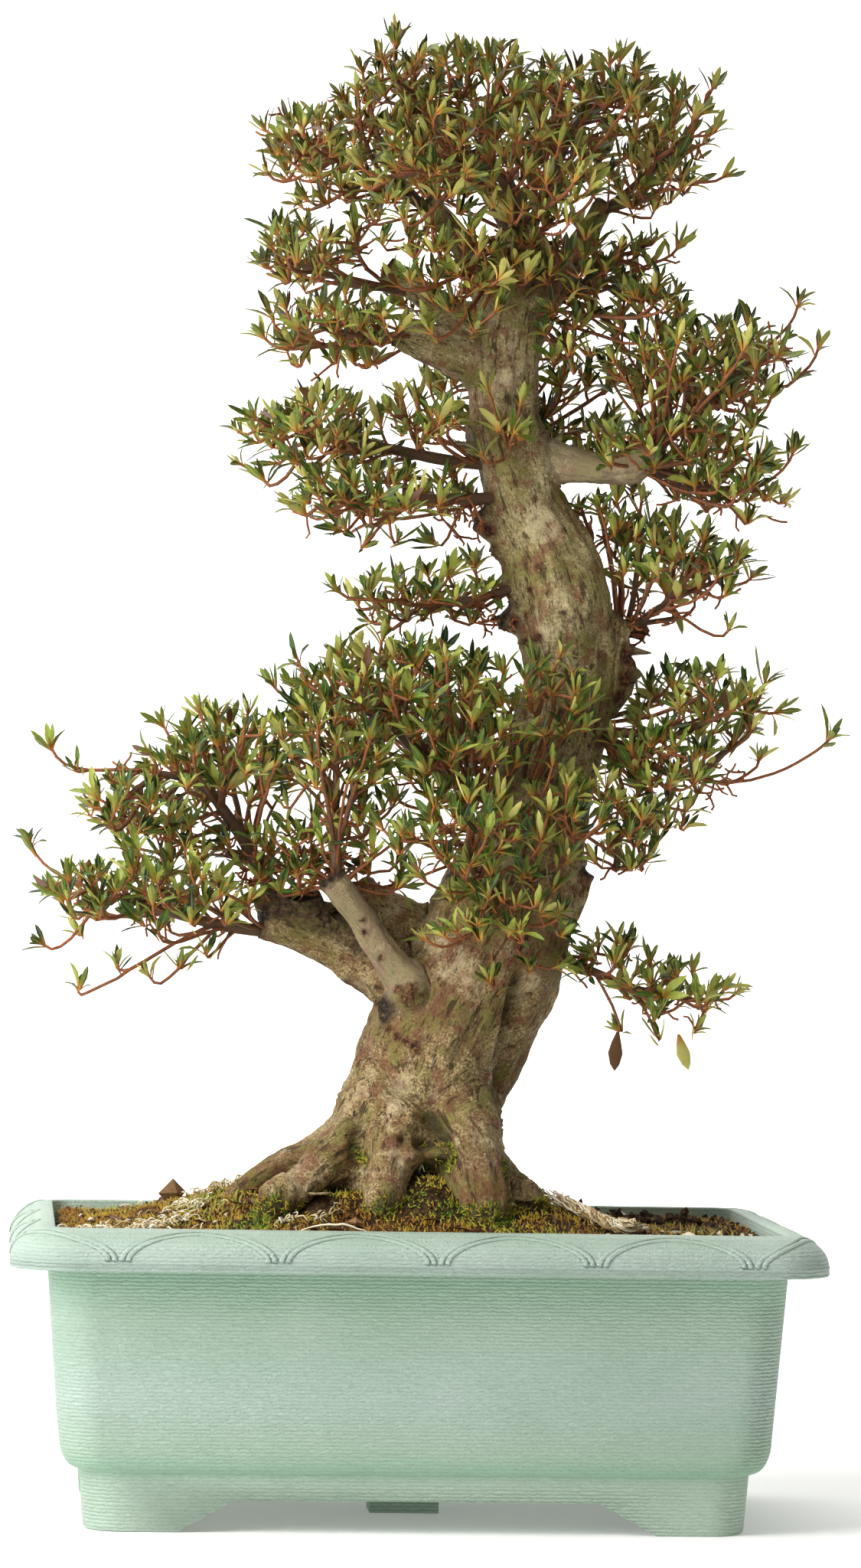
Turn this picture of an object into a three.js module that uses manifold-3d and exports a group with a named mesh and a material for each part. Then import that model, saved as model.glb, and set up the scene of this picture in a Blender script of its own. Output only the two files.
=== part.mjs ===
// Satsuki azalea bonsai in a moulded training pot: the pot, the soil, the trunk with its roots and
// cut limbs, and the leafy sprays, each spray one stem system with its leaves grown onto it.
// Millimetres, +Z up. The origin is the middle of the pot's foot plane, and -Y is the front.

import * as THREE from 'three';
import Module from 'manifold-3d';

const wasm = await Module();
wasm.setup();

// Driving sizes of the pot
const RIM_HALF_WIDTH = 300;
const RIM_HALF_DEPTH = 201;
const RIM_TOP = 221.5;
const RIM_CORNER = 48;
const LIP_BOTTOM = 192;
const LIP_BAND = 6.5;
const MOUTH_HALF_WIDTH = 267;
const MOUTH_HALF_DEPTH = 166;
const MOUTH_CORNER = 15;
const MOUTH_EDGE = 3;
const BODY_HALF_WIDTH = 272;
const BODY_HALF_DEPTH = 172;
const BODY_CORNER = 34;
const BODY_TOP = LIP_BOTTOM + 12;
const WALL = 4.5;
const FOOT_HALF_WIDTH = 243;
const FOOT_HALF_DEPTH = 153;
const LEDGE_HEIGHT = 45;
const FLOOR_UNDERSIDE = 33;
const FLOOR_TOP = 38;
const CORNER_STEPS = 3;

// Outside of the foot band, and the swell over its ledge:
// [height, added half width, added half depth, corner radius]
const FOOT_PROFILE = [
  [0, 0, 0, 28],
  [LEDGE_HEIGHT - 3, 3.5, 3.5, 30],
  [LEDGE_HEIGHT, 6, 6, 30],
  [LEDGE_HEIGHT + 9, 14, 9, 31],
  [LEDGE_HEIGHT + 25, 19, 12, 32],
];

// Underside of the flared lip: [height, set back from the rim]
const LIP_UNDERSIDE = [[LIP_BOTTOM + 6, 5], [LIP_BOTTOM, 4], [LIP_BOTTOM, 0]];

// Inside of the pot: its floor, and the shoulder where the wall turns up
const FLOOR_HALF_WIDTH = FOOT_HALF_WIDTH - WALL;
const FLOOR_HALF_DEPTH = FOOT_HALF_DEPTH - WALL;
const FLOOR_CORNER = 22;
const SHOULDER_HALF_WIDTH = FOOT_HALF_WIDTH + 19 - WALL;
const SHOULDER_HALF_DEPTH = FOOT_HALF_DEPTH + 12 - WALL;
const SHOULDER_HEIGHT = LEDGE_HEIGHT + 22;
const SHOULDER_CORNER = 24;

// The slanted openings between the corner feet, the centre foot, and the drain holes
const CUT_HEIGHT = 24;
const FRONT_CUT_FOOT = 176;
const FRONT_CUT_TOP = 133;
const SIDE_CUT_FOOT = 92;
const SIDE_CUT_TOP = 50;
const CENTRE_FOOT_WIDTH = 52;
const CENTRE_FOOT_DEPTH = 40;
const DRAIN_PLACES = [-170, -85, 85, 170];
const DRAIN_ROW = 70;
const DRAIN_RADIUS = 7;
const DRAIN_SIDES = 8;

// The raised arches on the rim. Their foot and rise are shares of the rim's face.
const ARCHES_ALONG_FRONT = 4;
const ARCHES_ALONG_SIDE = 2;
const ARCH_PITCH = 115;
const ARCH_FOOT = 0.06;
const ARCH_RISE = 0.74;
const BEAD_WIDTH = 8;
const BEAD_HEIGHT = 3;
const BEAD_STEPS = 4;

// The fit between touching pieces
const CLEARANCE = 0.35;

// Soil: its edge at the wall, its clods, and the mounds, each [x, y, spread in x, spread in y]
const SOIL_EDGE = 209;
const CLEAR_OF_EDGE = 4;
const SOIL_ROUNDING = 30;
const CLOD_HEIGHT = 1.6;
const MOUND_HEIGHT = 34;
const MOUND = [2, -4, 128, 84];
const ROOT_BANK_HEIGHT = 12;
const ROOT_BANK = [-105, -10, 70, 80];

// Trunk, limbs and roots
const TRUNK_SIDES = 10;
const TRUNK_FLUTING = 0.045;
const THICK_LIMB_SIDES = 7;
const LIMB_SIDES = 6;
const STEM_TURN = 0.3;
const ROOT_DIP = 6;
const ROOT_TAPER = 0.6;

// Leaves and shoots
const LEAF_LENGTH = 28;
const LEAF_HALF_WIDTH = 4.3;
const LEAF_THICKNESS = 1.1;
const LEAST_LEAN = 0.62;
const LEAN_SPREAD = 0.42;
const FIVE_LEAF_SHARE = 0.3;
const BUD_HEIGHT = 3.2;
const ROSETTE_REACH = 13;

// Twigs, and how they choose the fork that they leave from
const SPRAY_STEM_SIDES = 5;
const TWIG_RADIUS = 1.4;
const SHORTEST_TWIG = 12;
const LONGEST_TWIG = 75;
const KNEE_SHARE = 0.55;
const TWIG_SAG = 0.1;
const TWIG_WANDER = 0.12;
const UPWARD_PULL = 0.55;
const FIRST_FORK = 2;
const FORK_STEPS = 10;
const BEND_COST = 14;
const CROWDING_COST = 9;

// How evenly shoots are spread, and the room between sprays
const TIP_SPACING = 30;
const FAR_ENOUGH = 200;
const TIP_CANDIDATES = 24;
const MOST_TRIES = 60;
const SPRAY_GAP = 0.7;
const FIRST_SEED = 101;
const SEED_STEP = 17;

// Each stem is a list of stations, [x, y, z, radius].
// The trunk leans left at its foot, swings right to the middle and back to the crown.
const TRUNK = [
  [12, 0, 180, 46],
  [11, 0, 239, 61],
  [11, 0, 274, 57],
  [10, 0, 314, 56],
  [18, 0, 349, 54],
  [37, 0, 384, 53],
  [58, 4, 425, 51],
  [76, 8, 466, 47],
  [88, 10, 507, 42],
  [100, 10, 554, 37],
  [112, 6, 595, 33],
  [118, 0, 630, 32],
  [116, -4, 659, 33],
  [108, -8, 694, 36],
  [97, -10, 725, 34],
  [80, -8, 757, 28],
  [71, -4, 791, 27],
  [64, 0, 827, 27],
  [64, 5, 862, 27],
  [67, 8, 897, 25],
  [74, 9, 932, 21],
  [76, 10, 962, 15],
  [74, 10, 985, 11],
];

// The second stem behind the trunk and the thick limb on the left, both fused with the trunk
const THICK_LIMBS = {
  backStem: [
    [42, 24, 262, 17], [49, 28, 300, 20], [62, 32, 335, 24], [75, 30, 370, 27], [90, 22, 402, 27],
    [90, 12, 440, 24],
  ],
  leftLimb: [
    [37, 0, 376, 31], [-4, -2, 397, 23], [-40, -4, 412, 18], [-69, -6, 426, 17],
    [-97, -8, 438, 16], [-114, -9, 443, 15],
  ],
};

// Thinner limbs, most of them sawn off, and the burl on the right
const LIMBS = {
  paleLimb: [
    [14, -24, 362, 12], [-1, -38, 390, 13], [-25, -42, 422, 9], [-43, -45, 450, 9],
    [-65, -50, 476, 10],
  ],
  frontStub: [[54, -30, 452, 13], [37, -48, 472, 10], [26, -52, 484, 8]],
  rightStub: [[104, 0, 438, 12], [142, -4, 466, 9], [158, -8, 496, 8]],
  rightMidLimb: [
    [82, -4, 806, 13], [110, -12, 797, 11], [139, -18, 789, 10], [161, -22, 791, 10],
    [178, -26, 807, 9],
  ],
  rightBurl: [[112, 4, 664, 24], [132, 6, 659, 23], [158, 8, 653, 14]],
  upperLeftStub: [[48, 2, 866, 13], [7, -5, 889, 10], [-22, -8, 900, 9]],
  topLeftStub: [[48, 5, 892, 12], [-4, 8, 925, 10], [-28, 10, 942, 9]],
  topLeftLimb: [[64, 6, 905, 13], [33, 4, 954, 10], [12, 0, 980, 9], [0, -2, 992, 7]],
  topRightLimb: [[76, 8, 898, 14], [103, 10, 936, 12], [124, 12, 969, 9], [139, 14, 996, 8]],
};

// Surface roots, from inside the foot of the trunk out and down into the soil
const ROOTS = {
  leftFront: [
    [-14, -20, 306, 26], [-40, -44, 284, 21], [-64, -62, 268, 16], [-84, -75, 252, 12],
    [-101, -84, 236, 10],
  ],
  left: [
    [-10, -4, 300, 24], [-44, -12, 281, 17], [-75, -20, 268, 13], [-101, -22, 260, 10],
    [-128, -25, 242, 8],
  ],
  leftBack: [[-16, 14, 300, 26], [-54, 34, 272, 19], [-92, 52, 252, 12], [-122, 64, 232, 8]],
  middle: [[-6, -36, 300, 22], [-17, -66, 272, 18], [-22, -84, 250, 14], [-24, -94, 230, 11]],
  rightFront: [[22, -32, 300, 26], [33, -58, 280, 24], [44, -78, 258, 21], [49, -92, 234, 18]],
  right: [[34, -12, 292, 21], [54, -30, 270, 17], [74, -42, 253, 14], [90, -50, 236, 11]],
  rightBack: [[32, 20, 290, 24], [58, 42, 252, 17], [86, 60, 233, 12], [110, 72, 220, 8]],
  back: [[14, 30, 306, 30], [20, 62, 274, 22], [24, 92, 248, 15], [28, 112, 228, 10]],
};

// Small burls and callused wounds, [x, y, z, radius]
const BURLS = [
  [-29, -8, 385, 12],
  [2, -44, 389, 14],
  [-4, -50, 354, 11],
  [32, -6, 808, 14],
  [86, -32, 716, 13],
  [128, -16, 690, 14],
];

// Leafy sprays. stems are lists of stations, and clouds are the [x, y, z, rx, ry, rz] ellipsoids
// that the spray's shoot tips fill. reach lists the furthest shoot tips.
const SPRAYS = {
  crown_left: {
    stems: [[[6, 0, 984, 5], [-28, -4, 1004, 4], [-66, -8, 1022, 3], [-98, -10, 1040, 2]]],
    clouds: [[-92, -10, 1028, 42, 80, 42], [-62, 10, 1072, 32, 70, 30]],
    reach: [[-124, -8, 1048], [-132, -10, 1010], [-50, -4, 1092]],
    shoots: 8,
  },
  crown_top: {
    stems: [[[68, 9, 966, 6], [44, 6, 1004, 5], [16, 2, 1044, 4], [-8, -2, 1080, 3]]],
    clouds: [[-23, -5, 1082, 35, 70, 34], [36, 0, 1074, 41, 85, 40]],
    reach: [[-24, -4, 1119], [24, 0, 1108]],
    shoots: 8,
  },
  crown_right_top: {
    stems: [[[80, 10, 968, 6], [97, 8, 1014, 5], [114, 4, 1052, 4], [132, 0, 1080, 3]]],
    clouds: [[95, 0, 1066, 41, 90, 40], [147, 0, 1070, 35, 80, 38]],
    reach: [[147, -2, 1106], [96, 2, 1100]],
    shoots: 8,
  },
  crown_right: {
    stems: [[[134, 13, 986, 6], [160, 8, 1008, 4.5], [186, 2, 1034, 3], [206, 0, 1060, 2]]],
    clouds: [[192, 0, 1050, 33, 70, 40], [171, -10, 1008, 42, 60, 26]],
    reach: [[218, -5, 1084], [228, -8, 1016]],
    shoots: 6,
  },
  crown_front: {
    stems: [[[74, 4, 958, 6.5], [66, -28, 980, 4.5], [52, -58, 1004, 3], [20, -72, 1014, 2]]],
    clouds: [[-3, -76, 1004, 50, 46, 42], [72, -76, 1001, 50, 46, 46], [40, -66, 935, 42, 36, 28]],
    reach: [],
    shoots: 8,
  },
  crown_back: {
    stems: [[[76, 14, 964, 6.5], [76, 50, 996, 4.5], [66, 82, 1024, 3], [40, 96, 1044, 2]]],
    clouds: [[9, 90, 1042, 50, 52, 46], [104, 90, 1045, 50, 52, 46]],
    reach: [],
    shoots: 7,
  },
  left_upper: {
    stems: [
      [[0, 8, 921, 5], [-42, 2, 928, 4], [-82, -6, 936, 3], [-108, -10, 946, 2]],
    ],
    clouds: [[-96, -10, 945, 38, 76, 30], [7, 44, 922, 26, 44, 22]],
    reach: [[-124, -6, 940]],
    shoots: 5,
  },
  left_upper_low: {
    stems: [
      [[4, -5, 890, 4.5], [-34, -20, 886, 3.5], [-74, -26, 878, 3], [-106, -24, 874, 2]],
    ],
    clouds: [[-66, -22, 888, 62, 70, 28]],
    reach: [[-116, -16, 884], [-124, -12, 856]],
    shoots: 6,
  },
  left_mid: {
    stems: [
      [
        [62, -4, 792, 6.5], [22, -14, 794, 5], [-28, -22, 802, 4],
        [-78, -25, 812, 3], [-112, -22, 820, 2],
      ],
    ],
    clouds: [[-94, -20, 815, 54, 80, 34], [-4, -46, 818, 28, 46, 26]],
    reach: [[-138, -16, 814], [-126, -20, 780]],
    shoots: 7,
  },
  left_mid_low: {
    stems: [
      [[70, -8, 768, 5.5], [16, -28, 764, 4.5], [-36, -40, 762, 3], [-74, -42, 760, 2]],
    ],
    clouds: [[-42, -34, 764, 62, 72, 32]],
    reach: [[-44, -30, 736], [-92, -36, 752]],
    shoots: 6,
  },
  left_low_mid: {
    stems: [[[94, -12, 708, 5.5], [50, -16, 692, 4.5], [8, -14, 684, 3.5], [-28, -12, 688, 2.5]]],
    clouds: [[-4, -12, 691, 60, 68, 28], [36, -14, 712, 22, 46, 22]],
    reach: [[-62, -10, 694]],
    shoots: 5,
  },
  right_upper: {
    stems: [[[72, 9, 912, 5.5], [112, 12, 926, 4.5], [150, 12, 940, 3], [176, 8, 950, 2]]],
    clouds: [[151, 12, 950, 50, 72, 34], [171, -20, 915, 33, 56, 26]],
    reach: [],
    shoots: 6,
  },
  right_mid_top: {
    stems: [[[172, -24, 801, 6.5], [200, -12, 828, 4.5], [234, -4, 860, 3.5], [262, -6, 886, 2.5]]],
    clouds: [[204, 0, 874, 68, 92, 40], [262, -10, 892, 30, 56, 30]],
    reach: [[284, -6, 914], [302, -8, 882]],
    shoots: 8,
  },
  right_mid: {
    stems: [[[160, -22, 792, 6], [196, -10, 784, 4.5], [232, -8, 778, 3.5], [258, -12, 776, 2.5]]],
    clouds: [[193, 0, 798, 80, 92, 32], [236, -20, 772, 42, 62, 26]],
    reach: [[277, -14, 772]],
    shoots: 7,
  },
  right_low_mid: {
    stems: [[[148, 8, 656, 6], [172, 4, 678, 4.5], [200, 0, 696, 3.5], [228, 0, 708, 2.5]]],
    clouds: [[200, 0, 716, 54, 74, 30]],
    reach: [[255, -2, 712], [238, -6, 672]],
    shoots: 5,
  },
  right_low: {
    stems: [[[118, 2, 600, 6], [152, -6, 588, 4.5], [190, -12, 588, 3.5], [224, -8, 602, 2.5]]],
    clouds: [[218, 0, 616, 54, 72, 30], [182, -30, 566, 42, 62, 30]],
    reach: [[270, -4, 636], [316, -8, 590]],
    shoots: 7,
  },
  centre_left: {
    stems: [[[86, 4, 524, 8], [42, -14, 546, 6], [2, -24, 572, 4.5], [-26, -28, 600, 3]]],
    clouds: [[-16, -20, 619, 70, 92, 40], [28, -60, 575, 46, 60, 38]],
    reach: [],
    shoots: 8,
  },
  centre_left_low: {
    stems: [[[-60, -49, 470, 5.5], [-62, -46, 506, 4.5], [-62, -42, 546, 3.5], [-62, -38, 580, 2.5]]],
    clouds: [[-66, -44, 572, 40, 70, 42]],
    reach: [],
    shoots: 4,
  },
  far_left_top: {
    stems: [
      [[-96, -6, 444, 6.5], [-117, 4, 484, 5.5], [-138, 6, 518, 4.5], [-164, 0, 546, 3],
        [-206, -6, 556, 2]],
    ],
    clouds: [[-146, 4, 559, 60, 92, 38], [-204, -6, 540, 48, 72, 34]],
    reach: [[-268, -6, 574]],
    shoots: 8,
  },
  far_left: {
    stems: [[[-104, -10, 435, 6], [-150, -18, 441, 4.5], [-200, -24, 454, 3.5], [-244, -26, 466, 2.5]]],
    clouds: [[-242, -20, 482, 46, 72, 34], [-186, -30, 456, 62, 72, 32]],
    reach: [[-290, -14, 502], [-274, -18, 462], [-270, -20, 422], [-246, -24, 394]],
    shoots: 9,
  },
  centre_low: {
    stems: [[[58, -20, 446, 7], [46, -60, 466, 5], [36, -84, 492, 3.5], [20, -94, 514, 2.5]]],
    clouds: [[27, -96, 506, 54, 46, 40], [61, -98, 452, 48, 42, 38]],
    reach: [],
    shoots: 7,
  },
  right_lowest: {
    stems: [[[92, -16, 428, 5.5], [130, -28, 412, 4.5], [168, -36, 398, 3.5], [206, -40, 390, 2.5]]],
    clouds: [[144, -30, 418, 36, 52, 28], [195, -40, 388, 48, 52, 28]],
    reach: [[246, -36, 398], [158, -34, 358], [206, -34, 360]],
    shoots: 6,
  },
  right_centre: {
    stems: [[[154, -7, 488, 5], [152, -34, 512, 4], [140, -62, 530, 3.5], [122, -84, 546, 2.5]]],
    clouds: [[136, -58, 522, 42, 50, 36]],
    reach: [],
    shoots: 3,
  },
  front_mid: {
    stems: [[[68, -16, 800, 3], [62, -34, 806, 2.5], [58, -46, 816, 2]]],
    clouds: [[58, -52, 812, 20, 12, 44]],
    reach: [],
    shoots: 3,
  },
  back_mid: {
    stems: [[[72, 10, 796, 6], [84, 50, 812, 4.5], [90, 84, 830, 3.5], [90, 112, 846, 2.5]]],
    clouds: [[90, 98, 838, 76, 46, 54]],
    reach: [],
    shoots: 6,
  },
  back_low: {
    stems: [[[90, 20, 522, 7], [82, 62, 540, 5], [70, 96, 560, 4], [58, 120, 576, 2.5]]],
    clouds: [[60, 112, 574, 88, 50, 54]],
    reach: [],
    shoots: 7,
  },
};


// Finishes: colours as seen, with roughness and metalness
const POT_PLASTIC = { color: '#a9cdb9', roughness: 0.55, metalness: 0 };
const DARK_SOIL = { color: '#5d4a26', roughness: 0.95, metalness: 0 };
const SMOOTH_BARK = { color: '#a4926a', roughness: 0.85, metalness: 0 };
const LEAF_GREEN = { color: '#4c6233', roughness: 0.5, metalness: 0 };

// A seeded draw of numbers from 0 to 1
function seededDraw(seed) {
  let state = seed;
  return () => {
    state = (state + 0x6d2b79f5) | 0;
    let mixed = Math.imul(state ^ (state >>> 15), 1 | state);
    mixed = (mixed + Math.imul(mixed ^ (mixed >>> 7), 61 | mixed)) ^ mixed;
    return ((mixed ^ (mixed >>> 14)) >>> 0) / 4294967296;
  };
}

// A closed solid from points and triangles
function solidFrom(points, triangles) {
  const vertProperties = new Float32Array(points.flatMap((point) => [point.x, point.y, point.z]));
  const triVerts = new Uint32Array(triangles.flat());
  return new wasm.Manifold(new wasm.Mesh({ numProp: 3, vertProperties, triVerts }));
}

// The triangles between each ring of points and the next, all rings of the same count
function bandTriangles(ringCount, count) {
  const triangles = [];
  for (let ring = 0; ring < ringCount - 1; ring += 1) {
    for (let side = 0; side < count; side += 1) {
      const next = (side + 1) % count;
      const low = ring * count;
      const high = low + count;
      triangles.push([low + side, low + next, high + next]);
      triangles.push([low + side, high + next, high + side]);
    }
  }
  return triangles;
}

// The flat end under the first ring
function footTriangles(count) {
  const triangles = [];
  for (let side = 1; side < count - 1; side += 1) {
    triangles.push([0, side + 1, side]);
  }
  return triangles;
}

// The solid lofted through rings of equal count, closed flat at both ends
function loft(rings) {
  const count = rings[0].length;
  const triangles = [...bandTriangles(rings.length, count), ...footTriangles(count)];
  const last = (rings.length - 1) * count;
  for (let side = 1; side < count - 1; side += 1) {
    triangles.push([last, last + side, last + side + 1]);
  }
  return solidFrom(rings.flat(), triangles);
}

// A rounded rectangle ring, counter-clockwise seen from above
function rectangleRing(halfWidth, halfDepth, corner, height) {
  const ring = [];
  for (const [quarter, signX, signY] of [[0, 1, 1], [1, -1, 1], [2, -1, -1], [3, 1, -1]]) {
    for (let step = 0; step <= CORNER_STEPS; step += 1) {
      const angle = (quarter + step / CORNER_STEPS) * Math.PI / 2;
      const x = signX * (halfWidth - corner) + corner * Math.cos(angle);
      const y = signY * (halfDepth - corner) + corner * Math.sin(angle);
      ring.push(new THREE.Vector3(x, y, height));
    }
  }
  return ring;
}

// Rings across a stem, one at each station, with frames carried along so that it doesn't twist.
// Fluting gives the ring three broad lobes and five small ones.
function stemRings(centres, radii, sides, turn = 0, fluting = 0) {
  const rings = [];
  let across = null;
  for (let index = 0; index < centres.length; index += 1) {
    const before = centres[Math.max(index - 1, 0)];
    const after = centres[Math.min(index + 1, centres.length - 1)];
    const along = after.clone().sub(before).normalize();
    if (!across) {
      across = Math.abs(along.x) < 0.8 ? new THREE.Vector3(1, 0, 0) : new THREE.Vector3(0, 1, 0);
    }
    across = across.clone().addScaledVector(along, -across.dot(along)).normalize();
    const side = along.clone().cross(across);
    const ring = [];
    for (let step = 0; step < sides; step += 1) {
      const angle = turn + (step / sides) * 2 * Math.PI;
      const broadLobes = Math.cos(3 * angle + index * 0.55);
      const smallLobes = 0.6 * Math.cos(5 * angle - index * 0.4);
      const reach = radii[index] * (1 + fluting * (broadLobes + smallLobes));
      ring.push(centres[index].clone()
        .addScaledVector(across, reach * Math.cos(angle))
        .addScaledVector(side, reach * Math.sin(angle)));
    }
    rings.push(ring);
  }
  return rings;
}

function centresOf(stations) {
  return stations.map(([x, y, z]) => new THREE.Vector3(x, y, z));
}

// A stem along its stations, swollen and lengthened by growth where something else has to clear it
function stem(stations, sides, growth = 0, fluting = 0) {
  const radii = stations.map((station) => station[3] + growth);
  const centres = centresOf(stations);
  const last = centres.length - 1;
  const foot = centres[0].clone().sub(centres[1]).setLength(growth);
  const end = centres[last].clone().sub(centres[last - 1]).setLength(growth);
  centres[0].add(foot);
  centres[last].add(end);
  return loft(stemRings(centres, radii, sides, STEM_TURN, fluting));
}

// A burl: a low ball of three rings, narrowed at its top and bottom
function burl([x, y, z, radius], growth) {
  const centres = [];
  const radii = [];
  for (const [height, share] of [[-0.85, 0.5], [0, 1], [0.85, 0.5]]) {
    centres.push(new THREE.Vector3(x, y, z + height * (radius + growth)));
    radii.push(share * (radius + growth));
  }
  return loft(stemRings(centres, radii, LIMB_SIDES));
}

// A straight prism of an outline in X and Z, run along Y, or along X when turned
function prism(outline, from, to, turned) {
  const place = ([u, v], w) => (turned ? new THREE.Vector3(w, u, v) : new THREE.Vector3(u, w, v));
  const ends = turned ? [from, to] : [to, from];
  return loft(ends.map((end) => outline.map((corner) => place(corner, end))));
}

// Half sizes of the rim's outer face at a share of the way from its lip band (0) to its top (1)
function rimFace(share) {
  const angle = share * Math.PI / 2;
  const inward = 1 - Math.cos(angle);
  const rise = Math.sin(angle);
  return {
    halfWidth: RIM_HALF_WIDTH - inward * (RIM_HALF_WIDTH - MOUTH_HALF_WIDTH - MOUTH_EDGE),
    halfDepth: RIM_HALF_DEPTH - inward * (RIM_HALF_DEPTH - MOUTH_HALF_DEPTH - MOUTH_EDGE),
    corner: RIM_CORNER - inward * (RIM_CORNER - MOUTH_CORNER - MOUTH_EDGE),
    height: LIP_BOTTOM + LIP_BAND + rise * (RIM_TOP - LIP_BOTTOM - LIP_BAND),
  };
}

// One raised arch bead on the rim: from one foot point, up over the face and down to the next.
// Its section is a ridge whose two feet are sunk into the face.
function archBead(centre, onSide, sign) {
  const halfSpan = (ARCH_PITCH - BEAD_WIDTH) / 2 - 1;
  const rings = [];
  for (let step = 0; step <= BEAD_STEPS; step += 1) {
    const angle = Math.PI * (step / BEAD_STEPS);
    const along = centre - halfSpan * Math.cos(angle);
    const share = ARCH_FOOT + ARCH_RISE * Math.sin(angle);
    const face = rimFace(share);
    const lower = rimFace(share - ARCH_FOOT / 2);
    const half = onSide ? face.halfWidth : face.halfDepth;
    const lowerHalf = onSide ? lower.halfWidth : lower.halfDepth;
    const out = new THREE.Vector2(face.height - lower.height, lowerHalf - half).normalize();
    const acrossAlong = (BEAD_WIDTH / 2) * Math.cos(angle);
    const acrossFace = (BEAD_WIDTH / 2) * Math.sin(angle);
    const ring = [];
    for (const [across, lift] of [[-1, -BEAD_HEIGHT], [1, -BEAD_HEIGHT], [0, BEAD_HEIGHT]]) {
      const u = along - across * acrossAlong;
      const v = half + lift * out.x - across * acrossFace * out.y;
      const height = face.height + lift * out.y + across * acrossFace * out.x;
      const x = onSide ? sign * v : -sign * u;
      const y = onSide ? sign * u : sign * v;
      ring.push(new THREE.Vector3(x, y, height));
    }
    rings.push(ring);
  }
  return loft(rings);
}

// The places of a row of arches, centred on the middle of the wall
function archCentres(count) {
  return Array.from({ length: count }, (_, arch) => (arch - (count - 1) / 2) * ARCH_PITCH);
}

// The outline of the slanted opening between two corner feet, carried on past the foot plane
function footOpening(halfFoot, halfTop) {
  const lean = (halfFoot - halfTop) / CUT_HEIGHT;
  return [[-halfFoot - lean, -1], [halfFoot + lean, -1], [halfTop, CUT_HEIGHT], [-halfTop, CUT_HEIGHT]];
}

function makePot() {
  const outside = FOOT_PROFILE.map(([height, wider, deeper, corner]) =>
    rectangleRing(FOOT_HALF_WIDTH + wider, FOOT_HALF_DEPTH + deeper, corner, height));
  outside.push(rectangleRing(BODY_HALF_WIDTH, BODY_HALF_DEPTH, BODY_CORNER, BODY_TOP));
  for (const [height, back] of LIP_UNDERSIDE) {
    outside.push(rectangleRing(RIM_HALF_WIDTH - back, RIM_HALF_DEPTH - back, RIM_CORNER - back, height));
  }
  for (const share of [0, 0.35, 0.7, 1]) {
    const face = rimFace(share);
    outside.push(rectangleRing(face.halfWidth, face.halfDepth, face.corner, face.height));
  }
  const inside = [
    rectangleRing(MOUTH_HALF_WIDTH, MOUTH_HALF_DEPTH, MOUTH_CORNER, RIM_TOP),
    rectangleRing(SHOULDER_HALF_WIDTH, SHOULDER_HALF_DEPTH, SHOULDER_CORNER, SHOULDER_HEIGHT),
    rectangleRing(FLOOR_HALF_WIDTH, FLOOR_HALF_DEPTH, FLOOR_CORNER, FLOOR_TOP),
  ];
  const recess = loft([-1, FLOOR_UNDERSIDE].map((height) =>
    rectangleRing(FLOOR_HALF_WIDTH, FLOOR_HALF_DEPTH, SHOULDER_CORNER, height)));
  const frontOpening = footOpening(FRONT_CUT_FOOT, FRONT_CUT_TOP);
  const sideOpening = footOpening(SIDE_CUT_FOOT, SIDE_CUT_TOP);
  let pot = loft([...outside, ...inside])
    .subtract(recess)
    .subtract(prism(frontOpening, -BODY_HALF_DEPTH, BODY_HALF_DEPTH, false))
    .subtract(prism(sideOpening, -BODY_HALF_WIDTH, BODY_HALF_WIDTH, true));
  const halfFoot = CENTRE_FOOT_WIDTH / 2;
  const footTop = FLOOR_UNDERSIDE + WALL / 2;
  const footOutline = [[-halfFoot, 0], [halfFoot, 0], [halfFoot, footTop], [-halfFoot, footTop]];
  pot = pot.add(prism(footOutline, -CENTRE_FOOT_DEPTH / 2, CENTRE_FOOT_DEPTH / 2, false));
  for (const x of DRAIN_PLACES) {
    for (const y of [-DRAIN_ROW, DRAIN_ROW]) {
      const low = [x, y, FLOOR_UNDERSIDE - WALL, DRAIN_RADIUS];
      const high = [x, y, FLOOR_TOP + WALL, DRAIN_RADIUS];
      pot = pot.subtract(stem([low, high], DRAIN_SIDES));
    }
  }
  for (const sign of [-1, 1]) {
    for (const centre of archCentres(ARCHES_ALONG_FRONT)) pot = pot.add(archBead(centre, false, sign));
    for (const centre of archCentres(ARCHES_ALONG_SIDE)) pot = pot.add(archBead(centre, true, sign));
  }
  return pot;
}

// The last station of a root, carried on and narrowed where it is under the soil
function buriedEnd(stations) {
  const tip = stations[stations.length - 1];
  const before = stations[stations.length - 2];
  const [x, y, z] = [0, 1, 2].map((axis) => 2 * tip[axis] - before[axis]);
  return [x, y, z - ROOT_DIP, tip[3] * ROOT_TAPER];
}

function makeTrunk(growth) {
  let trunk = stem(TRUNK, TRUNK_SIDES, growth, TRUNK_FLUTING);
  for (const stations of Object.values(THICK_LIMBS)) {
    trunk = trunk.add(stem(stations, THICK_LIMB_SIDES, growth));
  }
  for (const stations of Object.values(LIMBS)) {
    trunk = trunk.add(stem(stations, LIMB_SIDES, growth));
  }
  for (const stations of Object.values(ROOTS)) {
    trunk = trunk.add(stem([...stations, buriedEnd(stations)], LIMB_SIDES, growth));
  }
  for (const station of BURLS) {
    trunk = trunk.add(burl(station, growth));
  }
  return trunk;
}

// A smooth hill of height 1 at its middle
function hill(x, y, [middleX, middleY, spreadX, spreadY]) {
  return Math.exp(-(((x - middleX) / spreadX) ** 2) - (((y - middleY) / spreadY) ** 2));
}

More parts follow.
